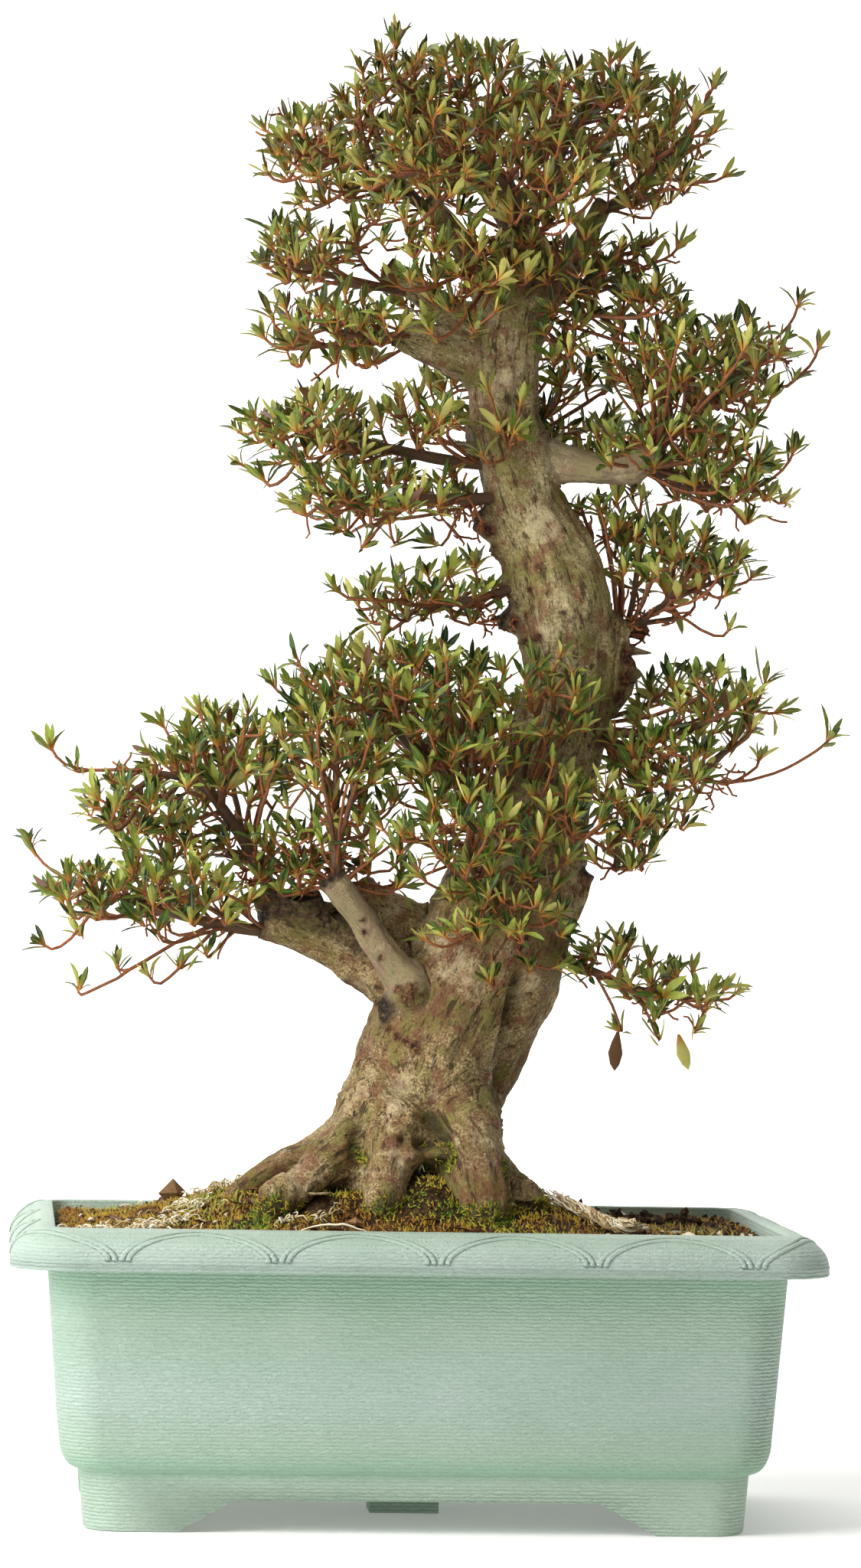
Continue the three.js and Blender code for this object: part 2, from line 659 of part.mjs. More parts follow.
// Height of the soil: just under the rim at the wall, and mounded up round the roots
function soilHeight(x, y) {
  const clods = CLOD_HEIGHT * Math.sin(x / 17 + 1) * Math.cos(y / 13);
  return SOIL_EDGE + CLEAR_OF_EDGE + clods
    + MOUND_HEIGHT * hill(x, y, MOUND)
    + ROOT_BANK_HEIGHT * hill(x, y, ROOT_BANK);
}

function makeSoil(grownTrunk) {
  const wallShare = (SOIL_EDGE - SHOULDER_HEIGHT) / (RIM_TOP - SHOULDER_HEIGHT);
  const wallWidth = SHOULDER_HALF_WIDTH + wallShare * (MOUTH_HALF_WIDTH - SHOULDER_HALF_WIDTH);
  const wallDepth = SHOULDER_HALF_DEPTH + wallShare * (MOUTH_HALF_DEPTH - SHOULDER_HALF_DEPTH);
  const sunk = (halfWidth, halfDepth, corner, height) =>
    rectangleRing(halfWidth - CLEARANCE, halfDepth - CLEARANCE, corner, height);
  const rings = [
    sunk(FLOOR_HALF_WIDTH, FLOOR_HALF_DEPTH, FLOOR_CORNER, FLOOR_TOP + CLEARANCE),
    sunk(SHOULDER_HALF_WIDTH, SHOULDER_HALF_DEPTH, SHOULDER_CORNER, SHOULDER_HEIGHT + CLEARANCE),
    sunk(wallWidth, wallDepth, MOUTH_CORNER + 2, SOIL_EDGE),
  ];
  for (const share of [0.93, 0.72, 0.5, 0.28]) {
    const corner = MOUTH_CORNER * share + SOIL_ROUNDING * (1 - share) * share;
    const ring = rectangleRing(wallWidth * share, wallDepth * share, corner, 0);
    rings.push(ring.map((point) => point.setZ(soilHeight(point.x, point.y))));
  }
  return loft(rings).subtract(grownTrunk);
}

// A shoot: a thin stem whose pointed end carries one ridged leaf on each of its sides.
// It comes with the room that it takes, one capsule for each stretch of stem and each leaf.
function leafyShoot(centres, radii, draw, leafCount) {
  const rings = stemRings(centres, radii, leafCount, draw() * 2);
  const points = rings.flat();
  const triangles = [...bandTriangles(rings.length, leafCount), ...footTriangles(leafCount)];
  const room = radii.slice(1).map((_, index) =>
    ({ from: centres[index], to: centres[index + 1], radius: radii[index] }));
  const tip = centres[centres.length - 1];
  const axis = tip.clone().sub(centres[centres.length - 2]).normalize();
  const apex = points.length;
  points.push(tip.clone().addScaledVector(axis, BUD_HEIGHT));
  const shoulder = (rings.length - 1) * leafCount;
  for (let side = 0; side < leafCount; side += 1) {
    const a = shoulder + side;
    const b = shoulder + ((side + 1) % leafCount);
    const root = points[a].clone().add(points[b]).multiplyScalar(0.5);
    const outward = root.clone().sub(tip).normalize();
    const lean = LEAST_LEAN + LEAN_SPREAD * draw();
    const length = LEAF_LENGTH * (0.84 + 0.22 * draw());
    const along = axis.clone().multiplyScalar(Math.cos(lean)).addScaledVector(outward, Math.sin(lean));
    const over = axis.clone().multiplyScalar(Math.sin(lean)).addScaledVector(outward, -Math.cos(lean));
    const across = points[a].clone().sub(points[b]).setLength(LEAF_HALF_WIDTH);
    const middle = root.clone().addScaledVector(along, length / 2).addScaledVector(over, -LEAF_THICKNESS);
    const left = points.length;
    const right = left + 1;
    const point = left + 2;
    points.push(middle.clone().add(across));
    points.push(middle.clone().sub(across));
    points.push(root.clone().addScaledVector(along, length).addScaledVector(over, -LEAF_THICKNESS));
    triangles.push([apex, a, left], [apex, left, point], [apex, point, right], [apex, right, b]);
    triangles.push([a, b, right], [a, right, left], [left, right, point]);
    room.push({ from: root, to: points[point], radius: LEAF_HALF_WIDTH + CLEARANCE });
  }
  return { solid: solidFrom(points, triangles), room };
}

// Distance between the segments a-b and c-d, sampled finely enough for stems
function segmentGap(a, b, c, d) {
  const steps = 6;
  const line = new THREE.Line3(c, d);
  const onFirst = new THREE.Vector3();
  const onSecond = new THREE.Vector3();
  let least = Infinity;
  for (let step = 0; step <= steps; step += 1) {
    onFirst.lerpVectors(a, b, step / steps);
    line.closestPointToPoint(onFirst, true, onSecond);
    least = Math.min(least, onFirst.distanceTo(onSecond));
  }
  return least;
}

// Room already taken: capsules of the trunk, of every stem and of every shoot grown so far
const taken = [];

function takeStem(stations, owner) {
  const centres = centresOf(stations);
  for (let index = 0; index < centres.length - 1; index += 1) {
    taken.push({ from: centres[index], to: centres[index + 1], radius: stations[index][3], owner });
  }
}

// True when a capsule keeps clear of all that isn't its own
function isFree({ from, to, radius }, owner) {
  return taken.every((other) => other.owner === owner
    || segmentGap(from, to, other.from, other.to) > radius + other.radius + SPRAY_GAP);
}

// A spray before its leaves: its stems as one solid, and the forks that twigs can leave from
function bareSpray(name, stems) {
  const pieces = stems.map((stations) => stem(stations, SPRAY_STEM_SIDES));
  const solid = pieces.reduce((joined, piece) => joined.add(piece));
  const forks = [];
  for (const stations of stems) {
    const curve = new THREE.CatmullRomCurve3(centresOf(stations));
    for (let step = FIRST_FORK; step <= FORK_STEPS; step += 1) {
      const share = step / FORK_STEPS;
      forks.push({ place: curve.getPoint(share), along: curve.getTangent(share), used: 0 });
    }
  }
  return { name, solid, forks, tips: [], missed: [] };
}

// A point in the outer part of one of the clouds, the larger clouds drawn more often
function drawTip(clouds, draw) {
  const volumes = clouds.map((cloud) => cloud[3] * cloud[4] * cloud[5]);
  let pick = draw() * volumes.reduce((sum, volume) => sum + volume, 0);
  let index = 0;
  while (index < volumes.length - 1 && pick > volumes[index]) {
    pick -= volumes[index];
    index += 1;
  }
  const [x, y, z, rx, ry, rz] = clouds[index];
  const height = draw() * 2 - 1;
  const angle = draw() * 2 * Math.PI;
  const share = 0.45 + 0.5 * Math.sqrt(draw());
  const ring = share * Math.sqrt(1 - height * height);
  return new THREE.Vector3(
    x + rx * ring * Math.cos(angle),
    y + ry * ring * Math.sin(angle),
    z + rz * share * height,
  );
}

// The forks in the order in which a twig to this tip would choose them: near, in line, not crowded
function rankForks(forks, tip) {
  const cost = (fork) => {
    const way = tip.clone().sub(fork.place);
    const bend = 1 - way.clone().normalize().dot(fork.along);
    return way.length() + BEND_COST * bend + CROWDING_COST * fork.used;
  };
  return forks.map((fork) => ({ fork, cost: cost(fork) }))
    .sort((one, two) => one.cost - two.cost)
    .map((ranked) => ranked.fork);
}

// Grows a shoot to the tip from the best fork with free room: the twig sags at its knee and turns
// up at its end. Says whether one could grow.
function growShoot(spray, tip, draw, { choices, longest }) {
  for (const fork of rankForks(spray.forks, tip).slice(0, choices)) {
    const way = tip.clone().sub(fork.place);
    const length = way.length();
    if (length < SHORTEST_TWIG || length > longest) continue;
    const knee = fork.place.clone().addScaledVector(way, KNEE_SHARE);
    knee.z -= length * TWIG_SAG;
    knee.x += (draw() - 0.5) * length * TWIG_WANDER;
    knee.y += (draw() - 0.5) * length * TWIG_WANDER;
    const rise = tip.clone().sub(knee).normalize();
    rise.z += UPWARD_PULL;
    rise.normalize();
    const centres = [fork.place, knee, tip.clone().sub(rise)];
    const radii = [TWIG_RADIUS, TWIG_RADIUS + 0.7, TWIG_RADIUS + 0.4];
    const shoot = leafyShoot(centres, radii, draw, draw() < FIVE_LEAF_SHARE ? 5 : 4);
    shoot.room[0].from = fork.place.clone().lerp(knee, 0.3);
    if (!shoot.room.every((capsule) => isFree(capsule, spray.name))) continue;
    spray.solid = spray.solid.add(shoot.solid);
    for (const capsule of shoot.room) taken.push({ ...capsule, owner: spray.name });
    spray.tips.push(tip.clone().addScaledVector(rise, ROSETTE_REACH));
    fork.used += 1;
    spray.forks.push({ place: knee, along: rise, used: 1 });
    return true;
  }
  return false;
}

// Of several drawn tips, the one furthest from all that have grown or failed, if far enough
function loneliestTip(spray, clouds, draw) {
  let best = null;
  let bestGap = 0;
  for (let candidate = 0; candidate < TIP_CANDIDATES; candidate += 1) {
    const tip = drawTip(clouds, draw);
    const fromGrown = Math.min(...spray.tips.map((other) => other.distanceTo(tip)));
    const fromMissed = Math.min(...spray.missed.map((other) => 2 * other.distanceTo(tip)));
    const gap = Math.min(fromGrown, fromMissed, FAR_ENOUGH);
    if (gap > bestGap) {
      best = tip;
      bestGap = gap;
    }
  }
  return bestGap < TIP_SPACING ? null : best;
}

// One spray: its stems, its furthest shoots, and shoots spread evenly through its clouds
function makeSpray(name, { stems, clouds, reach, shoots }, seed, grownTrunk) {
  const draw = seededDraw(seed);
  const spray = bareSpray(name, stems);
  for (const place of reach) {
    growShoot(spray, new THREE.Vector3(...place), draw, { choices: 8, longest: Infinity });
  }
  for (let tries = 0; tries < MOST_TRIES && spray.tips.length < shoots; tries += 1) {
    const tip = loneliestTip(spray, clouds, draw);
    if (!tip) continue;
    if (!growShoot(spray, tip, draw, { choices: 4, longest: LONGEST_TWIG })) spray.missed.push(tip);
  }
  const seated = spray.solid.subtract(grownTrunk);
  const scraps = seated.decompose().sort((one, two) => two.volume() - one.volume());
  return scraps[0];
}

function meshOf(name, solid, look) {
  const { vertProperties, triVerts } = solid.getMesh();
  const geometry = new THREE.BufferGeometry();
  geometry.setAttribute('position', new THREE.BufferAttribute(new Float32Array(vertProperties), 3));
  geometry.setIndex(new THREE.BufferAttribute(new Uint32Array(triVerts), 1));
  const mesh = new THREE.Mesh(geometry, new THREE.MeshStandardMaterial(look));
  mesh.name = name;
  return mesh;
}

const grownTrunk = makeTrunk(CLEARANCE);
const woody = [TRUNK, ...Object.values(THICK_LIMBS), ...Object.values(LIMBS), ...Object.values(ROOTS)];
for (const stations of woody) takeStem(stations, 'trunk');
for (const [name, { stems }] of Object.entries(SPRAYS)) {
  for (const stations of stems) takeStem(stations.slice(1), name);
}

const bonsai = new THREE.Group();
bonsai.add(meshOf('pot', makePot(), POT_PLASTIC));
bonsai.add(meshOf('soil', makeSoil(grownTrunk), DARK_SOIL));
bonsai.add(meshOf('trunk', makeTrunk(0), SMOOTH_BARK));
Object.entries(SPRAYS).forEach(([name, spray], index) => {
  const seed = FIRST_SEED + index * SEED_STEP;
  bonsai.add(meshOf(`spray_${name}`, makeSpray(name, spray, seed, grownTrunk), LEAF_GREEN));
});

export default bonsai;
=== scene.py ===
import math

import bpy
import numpy as np
from mathutils import Matrix, Vector, noise
from mathutils.bvhtree import BVHTree


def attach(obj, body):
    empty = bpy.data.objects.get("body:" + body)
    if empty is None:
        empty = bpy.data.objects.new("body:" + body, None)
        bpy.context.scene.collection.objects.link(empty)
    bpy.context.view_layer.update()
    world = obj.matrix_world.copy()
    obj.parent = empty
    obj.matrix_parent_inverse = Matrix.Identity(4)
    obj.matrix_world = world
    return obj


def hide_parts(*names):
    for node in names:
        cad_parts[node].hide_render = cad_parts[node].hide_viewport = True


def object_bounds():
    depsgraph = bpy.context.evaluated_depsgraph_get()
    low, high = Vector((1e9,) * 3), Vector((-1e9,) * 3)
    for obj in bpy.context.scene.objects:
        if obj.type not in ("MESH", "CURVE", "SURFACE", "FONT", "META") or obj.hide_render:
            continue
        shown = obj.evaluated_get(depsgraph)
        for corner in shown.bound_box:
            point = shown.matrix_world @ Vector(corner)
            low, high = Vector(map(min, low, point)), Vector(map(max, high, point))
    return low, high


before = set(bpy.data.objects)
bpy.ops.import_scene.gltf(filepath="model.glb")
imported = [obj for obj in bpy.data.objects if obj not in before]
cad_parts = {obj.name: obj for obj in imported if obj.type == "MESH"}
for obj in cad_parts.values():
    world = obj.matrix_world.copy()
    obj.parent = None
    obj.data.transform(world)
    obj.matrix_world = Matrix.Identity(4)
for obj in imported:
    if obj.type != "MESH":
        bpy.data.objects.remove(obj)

cad_low, cad_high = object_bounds()

# The room: a plain pale floor that sweeps up far behind, and soft studio light from above and from
# the left. The camera stands 4.2 m in front of the pot, level with the low branches, and its long
# lens gives the photograph's flat perspective.
MM = 0.001
CAMERA_TURN = math.radians(-4.348)
CAMERA_DISTANCE = 4193 * MM
CAMERA_HEIGHT = 487 * MM
CAMERA_SHIFT = 11.845 * MM
CAMERA_TILT = math.radians(0.855)
CAMERA_ROLL = math.radians(1.001)
LENS_MM = 127.04
SENSOR_HEIGHT_MM = 36
CLEAR_SIGHT = 60

level = Vector((-math.sin(CAMERA_TURN), math.cos(CAMERA_TURN), 0))
right = Vector((math.cos(CAMERA_TURN), math.sin(CAMERA_TURN), 0))
forward = level * math.cos(CAMERA_TILT) + Vector((0, 0, math.sin(CAMERA_TILT)))
upward = Vector((0, 0, math.cos(CAMERA_TILT))) - level * math.sin(CAMERA_TILT)
rolled_right = right * math.cos(CAMERA_ROLL) + upward * math.sin(CAMERA_ROLL)
rolled_up = upward * math.cos(CAMERA_ROLL) - right * math.sin(CAMERA_ROLL)
camera = bpy.data.objects.new("camera", bpy.data.cameras.new("camera"))
camera.data.sensor_fit = "VERTICAL"
camera.data.sensor_height = SENSOR_HEIGHT_MM
camera.data.lens = LENS_MM
camera.data.clip_end = CLEAR_SIGHT
stand = -level * CAMERA_DISTANCE + right * CAMERA_SHIFT + Vector((0, 0, CAMERA_HEIGHT))
facing = Matrix((rolled_right, rolled_up, -forward)).transposed()
camera.matrix_world = Matrix.Translation(stand) @ facing.to_4x4()
bpy.context.scene.collection.objects.link(camera)
bpy.context.scene.camera = camera


def linear(hex_colour):
    """A colour as seen on a screen, #rrggbb, as the light values that the shader adds up."""
    channels = [int(hex_colour[at:at + 2], 16) / 255 for at in (1, 3, 5)]
    light = [c / 12.92 if c <= 0.04045 else ((c + 0.055) / 1.055) ** 2.4 for c in channels]
    return (*light, 1.0)


def add_node(material, kind, settings=None, links=None):
    """Adds a node to a material, with its settings, socket values and links from other nodes."""
    node = material.node_tree.nodes.new(kind)
    for name, value in (settings or {}).items():
        if name == "stops":
            ramp = node.color_ramp
            while len(ramp.elements) < len(value):
                ramp.elements.new(0.5)
            for element, (place, colour) in zip(ramp.elements, value):
                element.position = place
                element.color = linear(colour)
        elif hasattr(node, str(name)):
            setattr(node, name, value)
        else:
            node.inputs[name].default_value = value
    for name, source in (links or {}).items():
        material.node_tree.links.new(source, node.inputs[name])
    return node


def new_material(name):
    """An empty node material with its output."""
    material = bpy.data.materials.new(name)
    material.use_nodes = True
    material.node_tree.nodes.clear()
    return material


def finish_material(material, settings, links):
    """Ends a material in one shader, which carries its gloss and its patterns."""
    shader = add_node(material, "ShaderNodeBsdfPrincipled", settings, links)
    add_node(material, "ShaderNodeOutputMaterial", None, {"Surface": shader.outputs["BSDF"]})


def make_piece(name, points_mm, faces, materials, face_materials=None, smooth=True):
    """A mesh from points in millimetres, put into the scene in metres."""
    mesh = bpy.data.meshes.new(name)
    points = np.asarray(points_mm, dtype=float) * MM
    mesh.from_pydata(points.tolist(), [], faces)
    for material in materials:
        mesh.materials.append(material)
    if face_materials is not None:
        mesh.polygons.foreach_set("material_index", np.asarray(face_materials, dtype=np.int32))
    mesh.polygons.foreach_set("use_smooth", np.full(len(mesh.polygons), smooth))
    mesh.update()
    piece = bpy.data.objects.new(name, mesh)
    bpy.context.scene.collection.objects.link(piece)
    return piece


# Painted studio floor: matt, which gives soft shadows and no mirror image. Its glow stands for the lamps of
# the background, which burn the far floor and the sweep out to white; its weak glow near the pot is painted
# light that lightens the shadows there.
FLOOR_PAINT = "#f4f3f0"
ROLLED_PAINT = "#f6f5f2"
PAINT_CLOUD = 667 * MM
NEAR_GLOW = 0.18
FAR_GLOW = 0.95
GLOW_START = 1200 * MM
GLOW_FULL = 4000 * MM
FLOOR_HALF_WIDTH = 20000
FLOOR_FRONT = -14000
SWEEP_START = 10000
SWEEP_RADIUS = 2500
SWEEP_STEPS = 16
SWEEP_TOP = 13000

studio_paint = new_material("matt_studio_paint")
cloudy = add_node(studio_paint, "ShaderNodeTexNoise", {"Scale": 1 / PAINT_CLOUD, "Detail": 2.0})
paint_tone = add_node(
    studio_paint, "ShaderNodeValToRGB",
    {"stops": [(0.0, FLOOR_PAINT), (1.0, ROLLED_PAINT)]}, {"Fac": cloudy.outputs["Fac"]})
floor_place = add_node(studio_paint, "ShaderNodeTexCoord")
floor_way = add_node(studio_paint, "ShaderNodeSeparateXYZ", None, {"Vector": floor_place.outputs["Object"]})
glow = add_node(
    studio_paint, "ShaderNodeMapRange",
    {"From Min": GLOW_START, "From Max": GLOW_FULL, "To Min": NEAR_GLOW, "To Max": FAR_GLOW},
    {"Value": floor_way.outputs["Y"]})
finish_material(
    studio_paint, {"Roughness": 0.95, "Specular IOR Level": 0.1, "Emission Color": linear("#ffffff")},
    {"Base Color": paint_tone.outputs["Color"], "Emission Strength": glow.outputs["Result"]})
sweep = [(FLOOR_FRONT, 0.0), (SWEEP_START, 0.0)]
for step in range(1, SWEEP_STEPS + 1):
    angle = step / SWEEP_STEPS * math.pi / 2
    sweep.append((SWEEP_START + SWEEP_RADIUS * math.sin(angle), SWEEP_RADIUS * (1 - math.cos(angle))))
sweep.append((SWEEP_START + SWEEP_RADIUS, SWEEP_TOP))
floor_points = [(side, y, z) for y, z in sweep for side in (-FLOOR_HALF_WIDTH, FLOOR_HALF_WIDTH)]
floor_faces = [(2 * row, 2 * row + 1, 2 * row + 3, 2 * row + 2) for row in range(len(sweep) - 1)]
floor = make_piece("studio_floor", floor_points, floor_faces, [studio_paint])

# Square soft boxes: name, place and aim in metres, width in metres, watts and tint
SOFT_BOXES = [
    ("overhead_box", (-1.3, -0.9, 3.0), (0, 0, 0.5), 1.5, 62, "#fffdfa"),
    ("left_box", (-1.5, -1.1, 1.0), (-0.1, 0, 0.3), 1.1, 36, "#fdfdff"),
    ("front_fill", (0.2, -4.6, 1.2), (0, 0, 0.5), 2.0, 4, "#fffdfa"),
    ("backdrop_box", (0, 2.4, 4.6), (0, 5.2, 1.2), 3.0, 230, "#ffffff")]
AIR_TINT = "#f7f7f5"
AIR_STRENGTH = 0.24
for name, place, aim, width, watts, tint in SOFT_BOXES:
    lamp = bpy.data.objects.new(name, bpy.data.lights.new(name, "AREA"))
    lamp.data.size = width
    lamp.data.energy = watts
    lamp.data.color = linear(tint)[:3]
    lamp.location = place
    lamp.rotation_euler = (Vector(aim) - Vector(place)).to_track_quat("-Z", "Y").to_euler()
    bpy.context.scene.collection.objects.link(lamp)
world = bpy.data.worlds.new("studio_air")
world.use_nodes = True
air = world.node_tree.nodes["Background"]
air.inputs["Color"].default_value = linear(AIR_TINT)
air.inputs["Strength"].default_value = AIR_STRENGTH
bpy.context.scene.world = world
bpy.context.scene.view_settings.view_transform = "Standard"


# The pot: one moulded training pot of pale green plastic. Its walls draft inwards to a small ledge
# and a foot band cut out between the corner feet, and its flared rim is pressed with double arches.
RIM_HALF_WIDTH = 300
RIM_HALF_DEPTH = 201
RIM_TOP = 221.5
RIM_CORNER = 48
LIP_BOTTOM = 192
LIP_BAND = 6.5
LIP_RIDGE = 0.9
MOUTH_HALF_WIDTH = 267
MOUTH_HALF_DEPTH = 166
MOUTH_CORNER = 15
MOUTH_EDGE = 3
BODY_HALF_WIDTH = 272
BODY_HALF_DEPTH = 172
BODY_CORNER = 34
WALL = 4.5
FOOT_HALF_WIDTH = 243
FOOT_HALF_DEPTH = 153
FOOT_CORNER = 28
FOOT_ROUNDING = 3
LEDGE_HEIGHT = 45
SWELL_HEIGHT = 25
FLOOR_UNDERSIDE = 33
FLOOR_TOP = 38
SHOULDER_HEIGHT = LEDGE_HEIGHT + 22
LEDGE_CORNER = 30
LEDGE_STEPS = ((3.2, 2.4), (3.6, 1.6), (4.6, 1.2))
SWELL_START = 6
SWELL_OUT = (19, 12)
WALL_CORNER = 32
SHOULDER_OUT = (SWELL_OUT[0] - WALL, SWELL_OUT[1] - WALL)
POT_CORNER_STEPS = 12


def rounded_ring(half_width, half_depth, corner, height):
    """A rounded rectangle of points, counter-clockwise seen from above."""
    ring = []
    for quarter, (sign_x, sign_y) in enumerate(((1, 1), (-1, 1), (-1, -1), (1, -1))):
        for step in range(POT_CORNER_STEPS + 1):
            angle = (quarter + step / POT_CORNER_STEPS) * math.pi / 2
            x = sign_x * (half_width - corner) + corner * math.cos(angle)
            y = sign_y * (half_depth - corner) + corner * math.sin(angle)
            ring.append((x, y, height))
    return ring


def foot_ring(out_x, out_y, corner, height):
    """A ring of the pot's lower half, given by how far it stands out from the foot band."""
    return rounded_ring(FOOT_HALF_WIDTH + out_x, FOOT_HALF_DEPTH + out_y, corner, height)


def rim_face(rise):
    """Half width, half depth, corner and height of the rim's face, rise being 0 at the lip, 1 on top."""
    inward = 1 - math.sqrt(max(0.0, 1 - rise * rise))
    half_width = RIM_HALF_WIDTH - inward * (RIM_HALF_WIDTH - MOUTH_HALF_WIDTH - MOUTH_EDGE)
    half_depth = RIM_HALF_DEPTH - inward * (RIM_HALF_DEPTH - MOUTH_HALF_DEPTH - MOUTH_EDGE)
    corner = RIM_CORNER - inward * (RIM_CORNER - MOUTH_CORNER - MOUTH_EDGE)
    return half_width, half_depth, corner, LIP_BOTTOM + LIP_BAND + rise * (RIM_TOP - LIP_BOTTOM - LIP_BAND)


def loft(rings):
    """Points and faces through rings of equal count, closed flat at both ends."""
    count = len(rings[0])
    faces = []
    for low in range(0, (len(rings) - 1) * count, count):
        for side in range(count):
            after = (side + 1) % count
            faces.append((low + side, low + after, low + count + after, low + count + side))
    faces.append(tuple(range(count - 1, -1, -1)))
    faces.append(tuple(range((len(rings) - 1) * count, len(rings) * count)))
    return [point for ring in rings for point in ring], faces


pot_rings = []
for step in range(5):
    angle = step / 4 * math.pi / 2
    inset = FOOT_ROUNDING * (1 - math.sin(angle))
    pot_rings.append(foot_ring(-inset, -inset, FOOT_CORNER, FOOT_ROUNDING * (1 - math.cos(angle))))
for out, below in LEDGE_STEPS:
    pot_rings.append(foot_ring(out, out, LEDGE_CORNER, LEDGE_HEIGHT - below))
for step in range(9):
    angle = step / 8 * math.pi / 2
    swell = math.sin(angle)
    height = LEDGE_HEIGHT + SWELL_HEIGHT * (1 - math.cos(angle))
    out_x, out_y = [SWELL_START + (out - SWELL_START) * swell for out in SWELL_OUT]
    corner = LEDGE_CORNER + (WALL_CORNER - LEDGE_CORNER) * swell
    pot_rings.append(foot_ring(out_x, out_y, corner, height))
for share in (0.25, 0.5, 0.75, 1):
    widen = (BODY_HALF_WIDTH - FOOT_HALF_WIDTH - SWELL_OUT[0]) * share
    deepen = (BODY_HALF_DEPTH - FOOT_HALF_DEPTH - SWELL_OUT[1]) * share
    height = LEDGE_HEIGHT + SWELL_HEIGHT + (LIP_BOTTOM - LEDGE_HEIGHT - SWELL_HEIGHT + 4) * share
    corner = WALL_CORNER + (BODY_CORNER - WALL_CORNER) * share
    pot_rings.append(foot_ring(SWELL_OUT[0] + widen, SWELL_OUT[1] + deepen, corner, height))
for back, height in ((26, 199.5), (22, 201), (9, 199), (5, 196), (4, 193), (3.4, LIP_BOTTOM + 0.2),
                     (2, LIP_BOTTOM), (0.8, LIP_BOTTOM + 0.3), (0.2, LIP_BOTTOM + 1.2)):
    pot_rings.append(rounded_ring(RIM_HALF_WIDTH - back, RIM_HALF_DEPTH - back, RIM_CORNER - back, height))
for step in range(5):
    angle = (step / 4 - 0.5) * math.pi
    out = 0.2 + 0.5 * math.cos(angle)
    height = LIP_BOTTOM + LIP_BAND + LIP_RIDGE * math.sin(angle)
    pot_rings.append(rounded_ring(RIM_HALF_WIDTH - 0.7 + out, RIM_HALF_DEPTH - 0.7 + out, RIM_CORNER, height))
for step in range(1, 14):
    half_width, half_depth, corner, height = rim_face(math.sin(step / 14 * math.pi / 2) * 0.999)
    pot_rings.append(rounded_ring(half_width - 0.5, half_depth - 0.5, corner, height))
for step in range(1, 5):
    angle = step / 4 * math.pi / 2
    out = MOUTH_EDGE * (1 - math.sin(angle)) * 0.5
    height = RIM_TOP - MOUTH_EDGE * (1 - math.cos(angle)) * 0.5
    pot_rings.append(rounded_ring(MOUTH_HALF_WIDTH + out, MOUTH_HALF_DEPTH + out, MOUTH_CORNER, height))
for share in (0.3, 0.6, 1):
    half_width = MOUTH_HALF_WIDTH + (FOOT_HALF_WIDTH + SHOULDER_OUT[0] - MOUTH_HALF_WIDTH) * share
    half_depth = MOUTH_HALF_DEPTH + (FOOT_HALF_DEPTH + SHOULDER_OUT[1] - MOUTH_HALF_DEPTH) * share
    height = RIM_TOP - 1.5 + (SHOULDER_HEIGHT - RIM_TOP + 1.5) * share
    pot_rings.append(rounded_ring(half_width, half_depth, MOUTH_CORNER + 9 * share, height))
pot_rings.append(foot_ring(-WALL, -WALL, 22, FLOOR_TOP))

FOOT_OPENING_HEIGHT = 24
RECESS_CORNER = 24
FRONT_OPENING = (176, 133)
SIDE_OPENING = (92, 50)
CENTRE_FOOT = (52, 40)
CENTRE_FOOT_TOP = 35
DRAIN_RADIUS = 7
DRAIN_SIDES = 16
DRAIN_PLACES = [(x, y) for x in (-170, -85, 85, 170) for y in (-70, 70)]


def prism(outline, low, high, axis):
    """Points and faces of an outline in two axes, carried straight along the third."""
    rings = []
    for end in (low, high):
        ring = [list(point) for point in outline]
        for point in ring:
            point.insert(axis, end)
        rings.append([tuple(point) for point in ring])
    return loft(rings)


def cut_away(piece, name, shapes, operation="DIFFERENCE"):
    """Cuts shapes out of a piece, or joins them to it, and removes them."""
    for number, (points, faces) in enumerate(shapes):
        cutter = make_piece(f"{name}_{number}", points, faces, [], smooth=False)
        joiner = piece.modifiers.new(name, "BOOLEAN")
        joiner.operation = operation
        joiner.solver = "EXACT"
        joiner.object = cutter
        bpy.context.view_layer.update()
        shaped = bpy.data.meshes.new_from_object(
            piece.evaluated_get(bpy.context.evaluated_depsgraph_get()))
        piece.modifiers.clear()
        piece.data = shaped
        bpy.data.objects.remove(cutter)


def foot_opening(half_foot, half_top):
    """The slanted opening between two corner feet."""
    lean = (half_foot - half_top) / FOOT_OPENING_HEIGHT
    low = half_foot + lean
    return [(-low, -1), (low, -1), (half_top, FOOT_OPENING_HEIGHT), (-half_top, FOOT_OPENING_HEIGHT)]


# Moulded polypropylene: dull and slightly waxy, pressed with fine broken ribs like coarse linen.
# The real ribs are 2.2 mm apart and the stipple is under 1 mm; both are drawn coarser, to show.
RIB_SPACING = 2.7 * MM
STIPPLE_GRAIN = 1.6 * MM
BLOTCH = 71.43 * MM
SPECK_SPACING = 33.33 * MM
POT_GREEN = "#b0c2b7"
POT_PAINTED_SHADE = "#9ab9a4"
POT_RIM = "#a7b7ad"
RIBS_FADE = 206
RIBS_END = 214
WAVES_PER_UNIT = 20 / (2 * math.pi)

